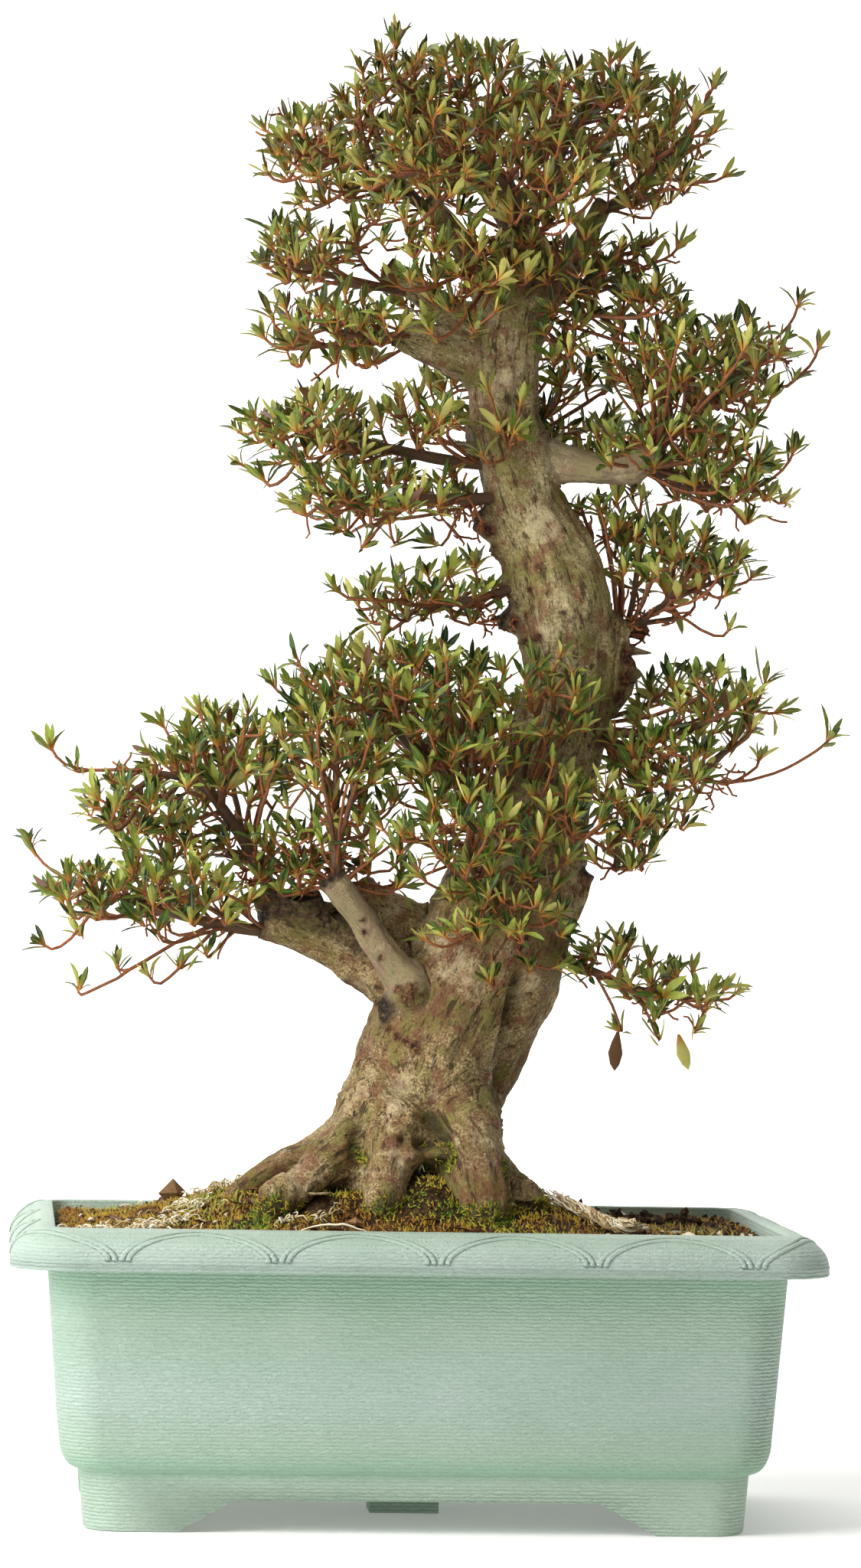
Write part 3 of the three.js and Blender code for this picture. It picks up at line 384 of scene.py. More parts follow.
moulded_plastic = new_material("moulded_polypropylene")
place = add_node(moulded_plastic, "ShaderNodeTexCoord")
up_down = add_node(moulded_plastic, "ShaderNodeSeparateXYZ", None, {"Vector": place.outputs["Object"]})
# Colour by height: lighter at the foot, greener bands of painted shade just above the ledge and under the
# rim's lip, greyer on the rim
height_tone = add_node(
    moulded_plastic, "ShaderNodeMapRange",
    {"From Min": 0.0, "From Max": RIM_TOP * MM}, {"Value": up_down.outputs["Z"]})
plastic_tone_and_shade = add_node(
    moulded_plastic, "ShaderNodeValToRGB",
    {"stops": [(0.0, "#bacbbc"), (0.17, "#b1c3b4"), (0.21, POT_PAINTED_SHADE), (0.27, "#a8bdab"),
               (0.45, POT_GREEN), (0.70, "#aabfae"), (0.84, POT_PAINTED_SHADE), (0.875, POT_RIM), (1.0, "#b7c5b9")]},
    {"Fac": height_tone.outputs["Result"]})
blotches = add_node(moulded_plastic, "ShaderNodeTexNoise", {"Scale": 1 / BLOTCH, "Detail": 3.0},
                    {"Vector": place.outputs["Object"]})
blotch_tone = add_node(
    moulded_plastic, "ShaderNodeValToRGB", {"stops": [(0.3, "#e6efe9"), (0.7, "#ffffff")]},
    {"Fac": blotches.outputs["Fac"]})
mottled = add_node(
    moulded_plastic, "ShaderNodeMixRGB", {"blend_type": "MULTIPLY", "Fac": 0.6},
    {"Color1": plastic_tone_and_shade.outputs["Color"], "Color2": blotch_tone.outputs["Color"]})
specks = add_node(moulded_plastic, "ShaderNodeTexVoronoi", {"Scale": 1 / SPECK_SPACING},
                  {"Vector": place.outputs["Object"]})
speck_mask = add_node(
    moulded_plastic, "ShaderNodeMapRange",
    {"From Min": 0.055, "From Max": 0.035, "To Max": 0.7}, {"Value": specks.outputs["Distance"]})
speck_pick = add_node(moulded_plastic, "ShaderNodeSeparateColor", None,
                      {"Color": specks.outputs["Color"]})
speck_few = add_node(
    moulded_plastic, "ShaderNodeMath", {"operation": "GREATER_THAN", 1: 0.86},
    {0: speck_pick.outputs["Red"]})
speck_amount = add_node(
    moulded_plastic, "ShaderNodeMath", {"operation": "MULTIPLY"},
    {0: speck_mask.outputs["Result"], 1: speck_few.outputs["Value"]})
dirty = add_node(
    moulded_plastic, "ShaderNodeMixRGB", {"Color2": linear("#7c6b48")},
    {"Fac": speck_amount.outputs["Value"], "Color1": mottled.outputs["Color"]})
ribs = add_node(
    moulded_plastic, "ShaderNodeTexWave",
    {"wave_type": "BANDS", "bands_direction": "Z", "Scale": 1 / (RIB_SPACING * WAVES_PER_UNIT),
     "Distortion": 3.0, "Detail": 2.0, "Detail Scale": 2.5},
    {"Vector": place.outputs["Object"]})
stipple = add_node(
    moulded_plastic, "ShaderNodeTexNoise", {"Scale": 1 / STIPPLE_GRAIN, "Detail": 3.0, "Roughness": 0.6},
    {"Vector": place.outputs["Object"]})
ribs_below_rim = add_node(
    moulded_plastic, "ShaderNodeMapRange",
    {"From Min": RIBS_FADE * MM, "From Max": RIBS_END * MM, "To Min": 0.8, "To Max": 0.12},
    {"Value": up_down.outputs["Z"]})
pressed_ribs = add_node(
    moulded_plastic, "ShaderNodeMath", {"operation": "MULTIPLY"},
    {0: ribs.outputs["Fac"], 1: ribs_below_rim.outputs["Result"]})
pressed = add_node(
    moulded_plastic, "ShaderNodeMath", {"operation": "ADD"},
    {0: pressed_ribs.outputs["Value"], 1: stipple.outputs["Fac"]})
moulding = add_node(
    moulded_plastic, "ShaderNodeBump", {"Strength": 0.9, "Distance": 1.0 * MM},
    {"Height": pressed.outputs["Value"]})
# The grooves between the ribs and the low spots of the stipple are darkened with painted shade
groove_painted_shade = add_node(
    moulded_plastic, "ShaderNodeValToRGB",
    {"stops": [(0.35, "#d5dfd8"), (0.62, "#f4f8f5"), (1.0, "#ffffff")]},
    {"Fac": pressed.outputs["Value"]})
with_groove_shade = add_node(
    moulded_plastic, "ShaderNodeMixRGB", {"blend_type": "MULTIPLY", "Fac": 1.0},
    {"Color1": dirty.outputs["Color"], "Color2": groove_painted_shade.outputs["Color"]})
rough_patches = add_node(
    moulded_plastic, "ShaderNodeMapRange", {"To Min": 0.5, "To Max": 0.62},
    {"Value": blotches.outputs["Fac"]})
finish_material(
    moulded_plastic, {"IOR": 1.49},
    {"Base Color": with_groove_shade.outputs["Color"], "Roughness": rough_patches.outputs["Result"],
     "Normal": moulding.outputs["Normal"]})

pot = make_piece("pot_moulding", *loft(pot_rings), [moulded_plastic])
recess = loft([foot_ring(-WALL, -WALL, RECESS_CORNER, height) for height in (-1, FLOOR_UNDERSIDE)])
front_cut = prism(foot_opening(*FRONT_OPENING), -BODY_HALF_DEPTH, BODY_HALF_DEPTH, 1)
side_cut = prism(foot_opening(*SIDE_OPENING), -BODY_HALF_WIDTH, BODY_HALF_WIDTH, 0)
drains = []
for x, y in DRAIN_PLACES:
    turns = [step * 2 * math.pi / DRAIN_SIDES for step in range(DRAIN_SIDES)]
    circle = [(x + DRAIN_RADIUS * math.cos(turn), y + DRAIN_RADIUS * math.sin(turn)) for turn in turns]
    drains.append(prism(circle, FLOOR_UNDERSIDE - WALL, FLOOR_TOP + WALL, 2))
# An outline in x and z carried along y comes out inside out, so its faces are turned round
cut_away(
    pot, "foot_cut", [recess, (front_cut[0], [face[::-1] for face in front_cut[1]]), side_cut, *drains])
half_foot = CENTRE_FOOT[0] / 2
foot_outline = [(-half_foot, 0), (half_foot, 0), (half_foot, CENTRE_FOOT_TOP), (-half_foot, CENTRE_FOOT_TOP)]
centre_foot = prism(foot_outline, -CENTRE_FOOT[1] / 2, CENTRE_FOOT[1] / 2, 1)
cut_away(pot, "centre_foot", [(centre_foot[0], [face[::-1] for face in centre_foot[1]])], "UNION")

# The double beads of the rim's arches, one arch after another round the rim
ARCH_SHIFT = 8
ARCH_PITCH = 115
STRAIGHT_FRONT = RIM_HALF_WIDTH - RIM_CORNER
STRAIGHT_SIDE = 2 * (RIM_HALF_DEPTH - RIM_CORNER)
CORNER_RUN = RIM_CORNER * math.pi / 2
SIDE_START = STRAIGHT_FRONT + CORNER_RUN
BACK_START = SIDE_START + STRAIGHT_SIDE + CORNER_RUN
BEAD_HALF_WIDTH = 2.2
BEAD_HEIGHT = 0.85
BEAD_SECTION = [(-1, -0.4), (-0.6, 0.62), (0, 1), (0.6, 0.62), (1, -0.4)]
BEAD_STEPS = 36
BEAD_FOOT_RISE = 0.07
BEAD_FOOT_SHARE = 0.74
BEAD_TOP_GAIN = 0.2
BEAD_ARCHES = ((0.955, 2.4), (0.875, 7.2))


def rim_point(run, rise):
    """The point of the rim's face at a run round the lip, from the middle of the front, and a rise."""
    half_width, half_depth, corner, height = rim_face(rise)
    straight_x, straight_y = half_width - corner, half_depth - corner
    if run < STRAIGHT_FRONT:
        return Vector((run, -half_depth, height))
    if run < SIDE_START:
        angle = (run - STRAIGHT_FRONT) / RIM_CORNER - math.pi / 2
        return Vector((straight_x + corner * math.cos(angle), -straight_y + corner * math.sin(angle), height))
    if run < SIDE_START + STRAIGHT_SIDE:
        return Vector((half_width, run - SIDE_START - straight_y, height))
    if run < BACK_START:
        angle = (run - SIDE_START - STRAIGHT_SIDE) / RIM_CORNER
        return Vector((straight_x + corner * math.cos(angle), straight_y + corner * math.sin(angle), height))
    return Vector((straight_x - (run - BACK_START), half_depth, height))


def bead_rings(start, end, peak, inset):
    """The rings of one raised bead from foot to foot of an arch."""
    middle, half_span = (start + end) / 2, (end - start) / 2 - inset
    path = []
    for step in range(BEAD_STEPS + 1):
        angle = math.pi * step / BEAD_STEPS
        run = middle - half_span * math.cos(angle)
        path.append((run, BEAD_FOOT_RISE + (peak - BEAD_FOOT_RISE) * math.sin(angle)))
    points = [rim_point(*at) for at in path]
    rings = []
    for step, (run, rise) in enumerate(path):
        along = (points[min(step + 1, BEAD_STEPS)] - points[max(step - 1, 0)]).normalized()
        sideways = rim_point(run + 0.5, rise) - rim_point(run - 0.5, rise)
        up_face = rim_point(run, rise + 0.01) - rim_point(run, rise - 0.01)
        out = sideways.cross(up_face).normalized()
        across = out.cross(along).normalized()
        fade = BEAD_FOOT_SHARE + BEAD_TOP_GAIN * rise
        rings.append([tuple(points[step] + across * u * BEAD_HALF_WIDTH + out * v * BEAD_HEIGHT * fade)
                      for u, v in BEAD_SECTION])
    return rings


side_middle = SIDE_START + STRAIGHT_SIDE / 2
feet = [0, ARCH_PITCH, 2 * ARCH_PITCH, side_middle - ARCH_PITCH, side_middle, side_middle + ARCH_PITCH]
back_middle = BACK_START + STRAIGHT_FRONT
feet += [back_middle - 2 * ARCH_PITCH, back_middle - ARCH_PITCH, back_middle]
bead_points, bead_faces = [], []
for start, end in zip(feet, feet[1:]):
    for peak, inset in BEAD_ARCHES:
        rings = bead_rings(start + ARCH_SHIFT, end + ARCH_SHIFT, peak, inset)
        for sign in (1, -1):
            points, faces = loft(rings)
            first = len(bead_points)
            bead_points += [(sign * x, sign * y, z) for x, y, z in points]
            bead_faces += [tuple(first + corner for corner in face) for face in faces]
beads = make_piece("rim_arch_beads", bead_points, bead_faces, [moulded_plastic])
for piece in (pot, beads):
    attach(piece, "root")
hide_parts("pot")

# The trunk: one living azalea trunk with its surface roots and the limbs that were sawn off it.
# Its thin bark is buff and smooth, flows over the wood in long muscles, and has healed in
# brown callus over the old cuts. It is rooted in the soil and stands by its own weight.
TRUNK_STATIONS = [
    (12, 0, 180, 46), (11, 0, 239, 61), (11, 0, 274, 57), (10, 0, 314, 56), (18, 0, 349, 54),
    (37, 0, 384, 53), (58, 4, 425, 51), (76, 8, 466, 47), (88, 10, 507, 42), (100, 10, 554, 37),
    (112, 6, 595, 33), (118, 0, 630, 32), (116, -4, 659, 33), (108, -8, 694, 36), (97, -10, 725, 34),
    (80, -8, 757, 28), (71, -4, 791, 27), (64, 0, 827, 27), (64, 5, 862, 27), (67, 8, 897, 25),
    (74, 9, 932, 21), (76, 10, 962, 15), (74, 10, 985, 11)]
SAWN_LIMBS = [
    [(37, 0, 380, 30), (-4, -2, 401, 23), (-40, -4, 417, 18), (-69, -6, 431, 17), (-97, -8, 442, 16),
     (-114, -9, 446, 15)],
    [(14, -24, 366, 14), (-1, -36, 392, 14), (-25, -40, 422, 11.5), (-43, -43, 450, 11),
     (-65, -48, 478, 11.5)],
    [(54, -30, 452, 13), (37, -48, 472, 10), (26, -52, 484, 8)],
    [(104, 0, 438, 11), (122, -4, 462, 8), (131, -8, 484, 6)],
    [(82, -4, 800, 17), (110, -12, 794, 14), (139, -18, 789, 10), (161, -22, 791, 10), (178, -26, 807, 9)],
    [(112, 4, 664, 24), (132, 6, 659, 23), (158, 8, 653, 14)],
    [(48, 2, 866, 14), (7, -5, 882, 15), (-20, -8, 892, 12)],
    [(48, 5, 892, 12), (-4, 8, 925, 10), (-28, 10, 942, 9)],
    [(64, 6, 905, 13), (33, 4, 954, 10), (12, 0, 980, 9), (0, -2, 992, 7)],
    [(76, 8, 898, 14), (103, 10, 936, 12), (124, 12, 969, 9), (139, 14, 996, 8)],
    [(30, 12, 418, 24), (0, 16, 444, 17), (-28, 18, 460, 13), (-40, 18, 472, 10)],
    [(78, -6, 736, 11), (58, -10, 743, 9), (42, -12, 750, 7)],
    [(94, -4, 668, 10), (78, -8, 672, 8), (66, -10, 677, 6)]]
SECOND_STEM = [(42, 24, 262, 17), (49, 28, 300, 20), (62, 32, 335, 24), (75, 30, 370, 27),
               (90, 22, 402, 27), (90, 12, 440, 24)]
ROOTS = [
    [(-14, -20, 306, 26), (-40, -44, 284, 21), (-64, -62, 268, 16), (-84, -75, 252, 12),
     (-101, -84, 236, 10)],
    [(-10, -4, 300, 24), (-44, -12, 281, 17), (-75, -20, 268, 13), (-101, -22, 260, 10), (-128, -25, 242, 8)],
    [(-16, 14, 300, 26), (-54, 34, 272, 19), (-92, 52, 252, 12), (-122, 64, 232, 8)],
    [(-6, -36, 300, 22), (-17, -66, 272, 18), (-22, -84, 250, 14), (-24, -94, 230, 11)],
    [(22, -32, 300, 26), (33, -58, 280, 24), (44, -78, 258, 21), (49, -92, 234, 18)],
    [(30, -12, 290, 20), (50, -30, 268, 16), (70, -42, 251, 13), (86, -50, 234, 10)],
    [(32, 20, 290, 24), (58, 42, 252, 17), (86, 60, 233, 12), (110, 72, 220, 8)],
    [(14, 30, 306, 30), (20, 62, 274, 22), (24, 92, 248, 15), (28, 112, 228, 10)]]
BURLS = [(-47, -14, 386, 12), (-4, -44, 391, 9), (32, -6, 808, 9), (-24, -97, 242, 9), (-71, -92, 244, 7),
         (-103, -86, 241, 12), (84, -60, 240, 12), (164, 2, 652, 13), (149, 0, 642, 16), (148, 0, 622, 13),
         (158, 8, 668, 12), (-112, -6, 462, 10), (-98, 2, 464, 11), (-84, -10, 456, 11), (-70, 4, 454, 12),
         (-54, -8, 442, 11), (-38, 6, 440, 12)]
FOOT_FILLS = [[(-8, -16, 330, 30), (-22, -34, 296, 23), (-30, -50, 264, 17), (-28, -60, 226, 18)],
              [(-22, -8, 304, 26), (-42, -18, 272, 25), (-56, -26, 232, 32)],
              [(28, -18, 322, 32), (39, -42, 288, 24), (46, -58, 256, 22), (46, -66, 222, 24)]]
PALE_LIMBS = (3, 6)
CHAIN_STEP = 3.0
VOXEL = 2.6
FILLET = 5.5
BURIED_DROP = 6
BURIED_SHARE = 0.6
FILLER_SIDES = 20
SETTLE_ROUNDS = 4
NEAR_SKIN = 30
POINTS_AT_ONCE = 4000
SAWN_FADE = 6


def smooth_stations(stations):
    """The stations of a limb on a smooth curve, a few millimetres apart."""
    rows = np.array(stations, dtype=float)
    ends = np.vstack([2 * rows[0] - rows[1], rows, 2 * rows[-1] - rows[-2]])
    smooth = []
    for before, start, end, after in zip(ends, ends[1:], ends[2:], ends[3:]):
        steps = max(2, round(np.linalg.norm(end[:3] - start[:3]) / CHAIN_STEP))
        for t in np.arange(steps)[:, None] / steps:
            bend = (2 * before - 5 * start + 4 * end - after) * t
            bend = bend + (3 * start - before - 3 * end + after) * t * t
            smooth.append(start + 0.5 * t * (end - before + bend))
    smooth.append(rows[-1])
    return np.array(smooth)


def limb_chain(stations, flat_end=False):
    """A limb as fine steps, each with its centre, radius, run and a frame that doesn't twist."""
    rows = smooth_stations(stations)
    centres, radii = rows[:, :3], rows[:, 3]
    along = np.gradient(centres, axis=0)
    along /= np.linalg.norm(along, axis=1)[:, None]
    across = np.empty_like(along)
    carried = np.array((0.0, 1.0, 0.0))
    for index, way in enumerate(along):
        carried = carried - way * (carried @ way)
        carried /= np.linalg.norm(carried)
        across[index] = carried
    run = np.concatenate([[0], np.cumsum(np.linalg.norm(np.diff(centres, axis=0), axis=1))])
    return {"centres": centres, "radii": radii, "along": along, "across": across,
            "side": np.cross(along, across), "run": run, "flat_end": flat_end}


def beside_limb(points, limb):
    """Gap from points to a limb's skin, the way straight out of it, the grain and how near the sawn end."""
    centres, radii, along = limb["centres"], limb["radii"], limb["along"]
    nearest = np.empty(len(points), dtype=int)
    for start in range(0, len(points), POINTS_AT_ONCE):
        block = points[start:start + POINTS_AT_ONCE]
        gaps = np.linalg.norm(block[:, None] - centres[None], axis=2) - radii
        nearest[start:start + POINTS_AT_ONCE] = gaps.argmin(1)
    offset = points - centres[nearest]
    ahead = (offset * along[nearest]).sum(1)
    last = len(centres) - 1
    slide = np.clip(ahead, np.where(nearest == 0, 0, -CHAIN_STEP), np.where(nearest == last, 0, CHAIN_STEP))
    slope = np.gradient(radii, limb["run"])
    radial = offset - along[nearest] * slide[:, None]
    length = np.linalg.norm(radial, axis=1) + 1e-6
    gap = length - radii[nearest] - slope[nearest] * slide
    out = radial / length[:, None]
    beyond = (nearest == last) & (ahead > 0)
    sawn = np.zeros(len(points))
    if limb["flat_end"]:
        level = offset - along[nearest] * ahead[:, None]
        level_length = np.linalg.norm(level, axis=1) + 1e-6
        flat = beyond & (ahead > level_length - radii[-1])
        gap = np.where(beyond, np.maximum(level_length - radii[-1], ahead), gap)
        out = np.where(beyond[:, None], level / level_length[:, None], out)
        out = np.where(flat[:, None], along[nearest], out)
        sawn = np.clip(1 - (limb["run"][-1] - limb["run"][nearest]) / SAWN_FADE, 0, 1)
        sawn = np.where(beyond, 1.0, sawn)
    u = (out * limb["across"][nearest]).sum(1)
    v = (out * limb["side"][nearest]).sum(1)
    grain = np.stack([u * radii[nearest], v * radii[nearest], limb["run"][nearest] + slide], axis=1)
    return gap, out, grain, radii[nearest], sawn


def limb_tube(limb, sides):
    """A plain closed tube round a limb, which only has to fill its place before the skin is drawn on."""
    rings = []
    for centre, radius, across, side in zip(limb["centres"], limb["radii"], limb["across"], limb["side"]):
        rings.append([tuple(centre + radius * (across * math.cos(turn) - side * math.sin(turn)))
                      for turn in np.arange(sides) * 2 * math.pi / sides])
    points, faces = loft(rings)
    return points, [face[::-1] for face in faces]


limbs = [limb_chain(TRUNK_STATIONS), limb_chain(SECOND_STEM)]
limbs += [limb_chain(stations, flat_end=True) for stations in SAWN_LIMBS]
for stations in ROOTS:
    near_end, end = np.array(stations[-2]), np.array(stations[-1])
    buried = tuple(2 * end[:3] - near_end[:3] - (0, 0, BURIED_DROP)) + (BURIED_SHARE * end[3],)
    limbs.append(limb_chain([*stations, buried]))
limbs += [limb_chain(stations) for stations in FOOT_FILLS]
limbs += [limb_chain([(x, y, z - 1, radius), (x, y, z + 1, radius)]) for x, y, z, radius in BURLS]
raw_points, raw_faces = [], []
for limb in limbs:
    points, faces = limb_tube(limb, FILLER_SIDES)
    raw_faces += [tuple(len(raw_points) + corner for corner in face) for face in faces]
    raw_points += points
trunk = make_piece("trunk_and_roots", raw_points, raw_faces, [])
remesh = trunk.modifiers.new("remesh", "REMESH")
remesh.mode = "VOXEL"
remesh.voxel_size = VOXEL * MM
bpy.context.view_layer.update()
joined = bpy.data.meshes.new_from_object(trunk.evaluated_get(bpy.context.evaluated_depsgraph_get()))
trunk.modifiers.clear()
trunk.data = joined

skin = np.empty(len(joined.vertices) * 3)
joined.vertices.foreach_get("co", skin)
skin = skin.reshape(-1, 3) / MM
for _ in range(SETTLE_ROUNDS):
    near = []
    for limb in limbs:
        reach = limb["radii"].max() + NEAR_SKIN
        low, high = limb["centres"].min(0) - reach, limb["centres"].max(0) + reach
        inside = np.nonzero(((skin > low) & (skin < high)).all(1))[0]
        near.append((inside, *beside_limb(skin[inside], limb)))
    total = np.zeros(len(skin))
    outward = np.zeros((len(skin), 3))
    grain = np.zeros((len(skin), 3))
    girth = np.zeros(len(skin))
    sawn = np.zeros(len(skin))
    sharp_total = np.zeros(len(skin))
    pale = np.zeros(len(skin))
    for number, (inside, gap, out, run, radius, cut) in enumerate(near):
        weight = np.exp(-np.clip(gap, -40, 40) / FILLET)
        total[inside] += weight
        outward[inside] += out * weight[:, None]
        sharp = weight ** 3
        sharp_total[inside] += sharp
        grain[inside] += run * sharp[:, None]
        girth[inside] += radius * sharp
        sawn[inside] += cut * sharp
        pale[inside] += sharp * (number in PALE_LIMBS)
    outward /= np.linalg.norm(outward, axis=1)[:, None]
    grain /= sharp_total[:, None]
    girth /= sharp_total
    sawn /= sharp_total
    pale /= sharp_total
    skin += outward * (FILLET * np.log(total))[:, None]

# What years of growth and pruning left on the skin, as seen from the front: the middle's x and z, the
# radius and rise of calluses and bosses, the radius of eyes, the half-sizes and depth of hollows
CALLUSES = [(-13, 395, 4, 2), (-4, 396, 5, 2.5), (-8, 388, 4, 2), (3, 391, 3, 1.5), (-19, 364, 3, 1.5),
            (-13, 359, 4, 2), (-6, 356, 4, 2.5), (0, 352, 5, 3), (-27, 383, 3, 1), (-49, 391, 9, 3),
            (-48, 380, 8, 3), (-43, 386, 8, 3), (-41, 446, 3, 1), (-40, 437, 3, 1), (-27, 418, 3, 1),
            (88, 713, 4, 2), (82, 698, 3, 1.5), (81, 678, 3, 1), (90, 662, 5, 2), (81, 659, 3, 1.5),
            (97, 648, 3, 1), (119, 628, 4, 1.5), (56, 724, 6, 3), (32, 807, 7, 2), (151, 724, 6, 3),
            (166, 660, 10, 4), (158, 648, 9, 3), (158, 632, 9, 3), (152, 618, 7, 2), (52, 742, 7, 2),
            (72, 674, 5, 2), (94, 694, 2, 1), (104, 705, 2, 1), (62, 700, 5, 3), (60, 674, 5, 3),
            (70, 842, 3, 1), (84, 765, 3, 1), (120, 655, 2, 1)]
EYES = [(98, 681, 4), (107, 679, 5), (111, 636, 5), (130, 640, 4)]
HOLLOWS = [(13, 314, 5, 12, 3), (11, 300, 7, 12, 10), (16, 288, 9, 12, 15), (6, 280, 8, 7, 7),
           (22, 274, 7, 12, 11), (5, 258, 12, 9, 7), (17, 266, 7, 10, 8), (-10, 285, 4, 4, 6),
           (-42, 294, 4, 11, 4), (-45, 280, 5, 11, 6), (-41, 268, 6, 9, 6), (78, 398, 6, 12, 9),
           (78, 384, 7, 12, 13), (76, 370, 7, 12, 16), (73, 356, 7, 12, 17), (69, 342, 7, 12, 16),
           (66, 328, 6, 12, 14), (64, 316, 5, 12, 9), (69, 262, 5, 12, 7), (128, 676, 3, 9, 3),
           (131, 663, 3, 9, 3), (140, 640, 4, 9, 3), (-17, 378, 5, 8, 4), (44, 284, 6, 16, 3)]
BOSSES = [(117, 673, 16, 5), (66, 697, 7, 5), (63, 674, 8, 6), (-5, 269, 7, 6), (4, 270, 7, 6),
          (11, 272, 5, 6), (-24, 276, 14, 4), (44, 286, 16, 4), (60, 300, 15, 3), (88, 540, 20, 4),
          (30, 345, 22, 3), (-30, 318, 14, 3)]
STUB_BARK = (-21, 379, 4.5, 13)
STUB_RISE = 4
CRUST_RISE = 1.8
CRUST_START = (-26, 415)
CRUST_FADE = 14
LEAST_DEPTH = 14
CRUMB_WAVES = (2.6, 2.6, 2.6)
DAMP_TOP = 246
DAMP_FADE = 14
DAMP_PATCH = (18, 18, 18)
PALER_FROM = 380
PALER_OVER = 350


def wavy(places, sizes, seed):
    """Smooth seeded noise from -1 to 1 at places, its waves as large as the sizes."""
    scaled = places / np.array(sizes) + seed
    return np.array([noise.noise(place) for place in scaled])


# Long muscles turn round the limb and run along it; ripples and fine lumps lie over them
turn = grain.copy()
turn[:, :2] /= girth[:, None]
whole = 1 - np.clip(sawn, 0, 1)
muscles = 0.15 * wavy(turn, (0.85, 0.85, 115), 3.1) + 0.085 * wavy(turn, (0.3, 0.3, 46), 7.7)
relief = whole * np.minimum(girth, 60) * muscles
relief += whole * 1.3 * wavy(grain, (7, 7, 24), 1.3) + 0.9 * wavy(skin, (11, 11, 13), 4.4)
relief += 0.6 * wavy(skin, (4.5, 4.5, 6), 5.2)
skin += outward * relief[:, None]

wound = np.zeros(len(skin))
damp_and_hollow_shade = np.zeros(len(skin))
skin_faces = [tuple(face.vertices) for face in joined.polygons]
tree = BVHTree.FromPolygons([tuple(point) for point in skin], skin_faces)
push = np.zeros(len(skin))
crumbs = wavy(skin, CRUMB_WAVES, 9.0)


def front_spread(x, z, wide, tall):
    """How strongly each point of the skin belongs to a mark seen from the front at x and z."""
    struck = tree.ray_cast(Vector((x, -400, z)), Vector((0, 1, 0)))[0]
    y = struck.y if struck else 0.0
    gaps = (skin - (x, y, z)) / (wide, max(wide, LEAST_DEPTH), tall)
    return np.exp(-(gaps ** 2).sum(1))


for x, z, radius, rise in CALLUSES:
    spread = front_spread(x, z, radius, radius)
    push += spread * rise * (1 + 0.9 * crumbs)
    wound = np.maximum(wound, np.clip(spread * 2.2 - 0.5 + 0.5 * crumbs * spread, 0, 1))
# The eye pits and the hollows are darkened with painted shade, laid into the same mark as the damp at the
# foot
for x, z, radius in EYES:
    spread = front_spread(x, z, radius, radius)
    push += 2.5 * spread - 5.0 * spread ** 4
    damp_and_hollow_shade = np.maximum(damp_and_hollow_shade, np.clip(spread ** 5 * 1.3, 0, 1))
for x, z, wide, tall, depth in HOLLOWS:
    spread = front_spread(x, z, wide, tall)
    push -= spread * depth
    damp_and_hollow_shade = np.maximum(damp_and_hollow_shade, np.clip(spread * 1.3 - 0.2, 0, 1) * min(1, depth / 8))
for x, z, radius, rise in BOSSES:
    push += front_spread(x, z, radius, radius) * rise
dead_wood = np.clip(3 * front_spread(*STUB_BARK) - 0.6, 0, 1)
push += STUB_RISE * dead_wood
limb_crust = np.clip((CRUST_START[0] - skin[:, 0]) / CRUST_FADE, 0, 1)
limb_crust = limb_crust * np.clip(outward[:, 2] * 2 + 0.6, 0, 1) * (skin[:, 2] > CRUST_START[1])
dead_wood = np.maximum(dead_wood, limb_crust * (pale < 0.5) * np.clip(0.8 + crumbs, 0, 1))
dead_wood = np.maximum(dead_wood, np.clip(sawn * 1.2 + 0.4 * crumbs * (sawn > 0.05), 0, 1))
push += dead_wood * CRUST_RISE * crumbs
skin += outward * push[:, None]
joined.vertices.foreach_set("co", (skin * MM).ravel())
joined.polygons.foreach_set("use_smooth", np.full(len(joined.polygons), True))
low_damp = (DAMP_TOP + DAMP_FADE * wavy(skin, DAMP_PATCH, 2.0) - skin[:, 2]) / DAMP_FADE
damp_and_hollow_shade = np.maximum(damp_and_hollow_shade, np.clip(low_damp, 0, 1))
paler = np.clip((skin[:, 2] - PALER_FROM) / PALER_OVER, 0, 1)
marks = np.stack([wound, damp_and_hollow_shade, paler], axis=1)
ageing = np.stack([dead_wood, pale, np.zeros(len(skin))], axis=1)
for label, values in (("grain", grain), ("marks", marks), ("ageing", ageing)):
    joined.attributes.new(label, "FLOAT_VECTOR", "POINT").data.foreach_set("vector", values.ravel())
joined.update()

# Azalea bark: buff and dull, with fibres along the limb, purple-brown and olive tints, dark flecks.
# Each grain has its width and length, each patch its size, in millimetres, then how fine and how
# rough it is. The real fibres and stipple are under 1 mm; both are drawn coarser, to show.
FIBRE = (2.4, 8, 4.0, 0.65)
WRINKLE = (4.5, 24, 5.0, 0.7)
FLECK = (1.8, 6, 4.0, 0.7)
STIPPLE = (1.9, 4.0, 0.85)
BLUSH = (16.13, 7.0, 0.72)
TINT_PATCH = (38.46, 7.0, 0.68)
STAIN = (76.92, 8.0, 0.65)
CRUMBLE = (3.333, 3.0, 0.7)

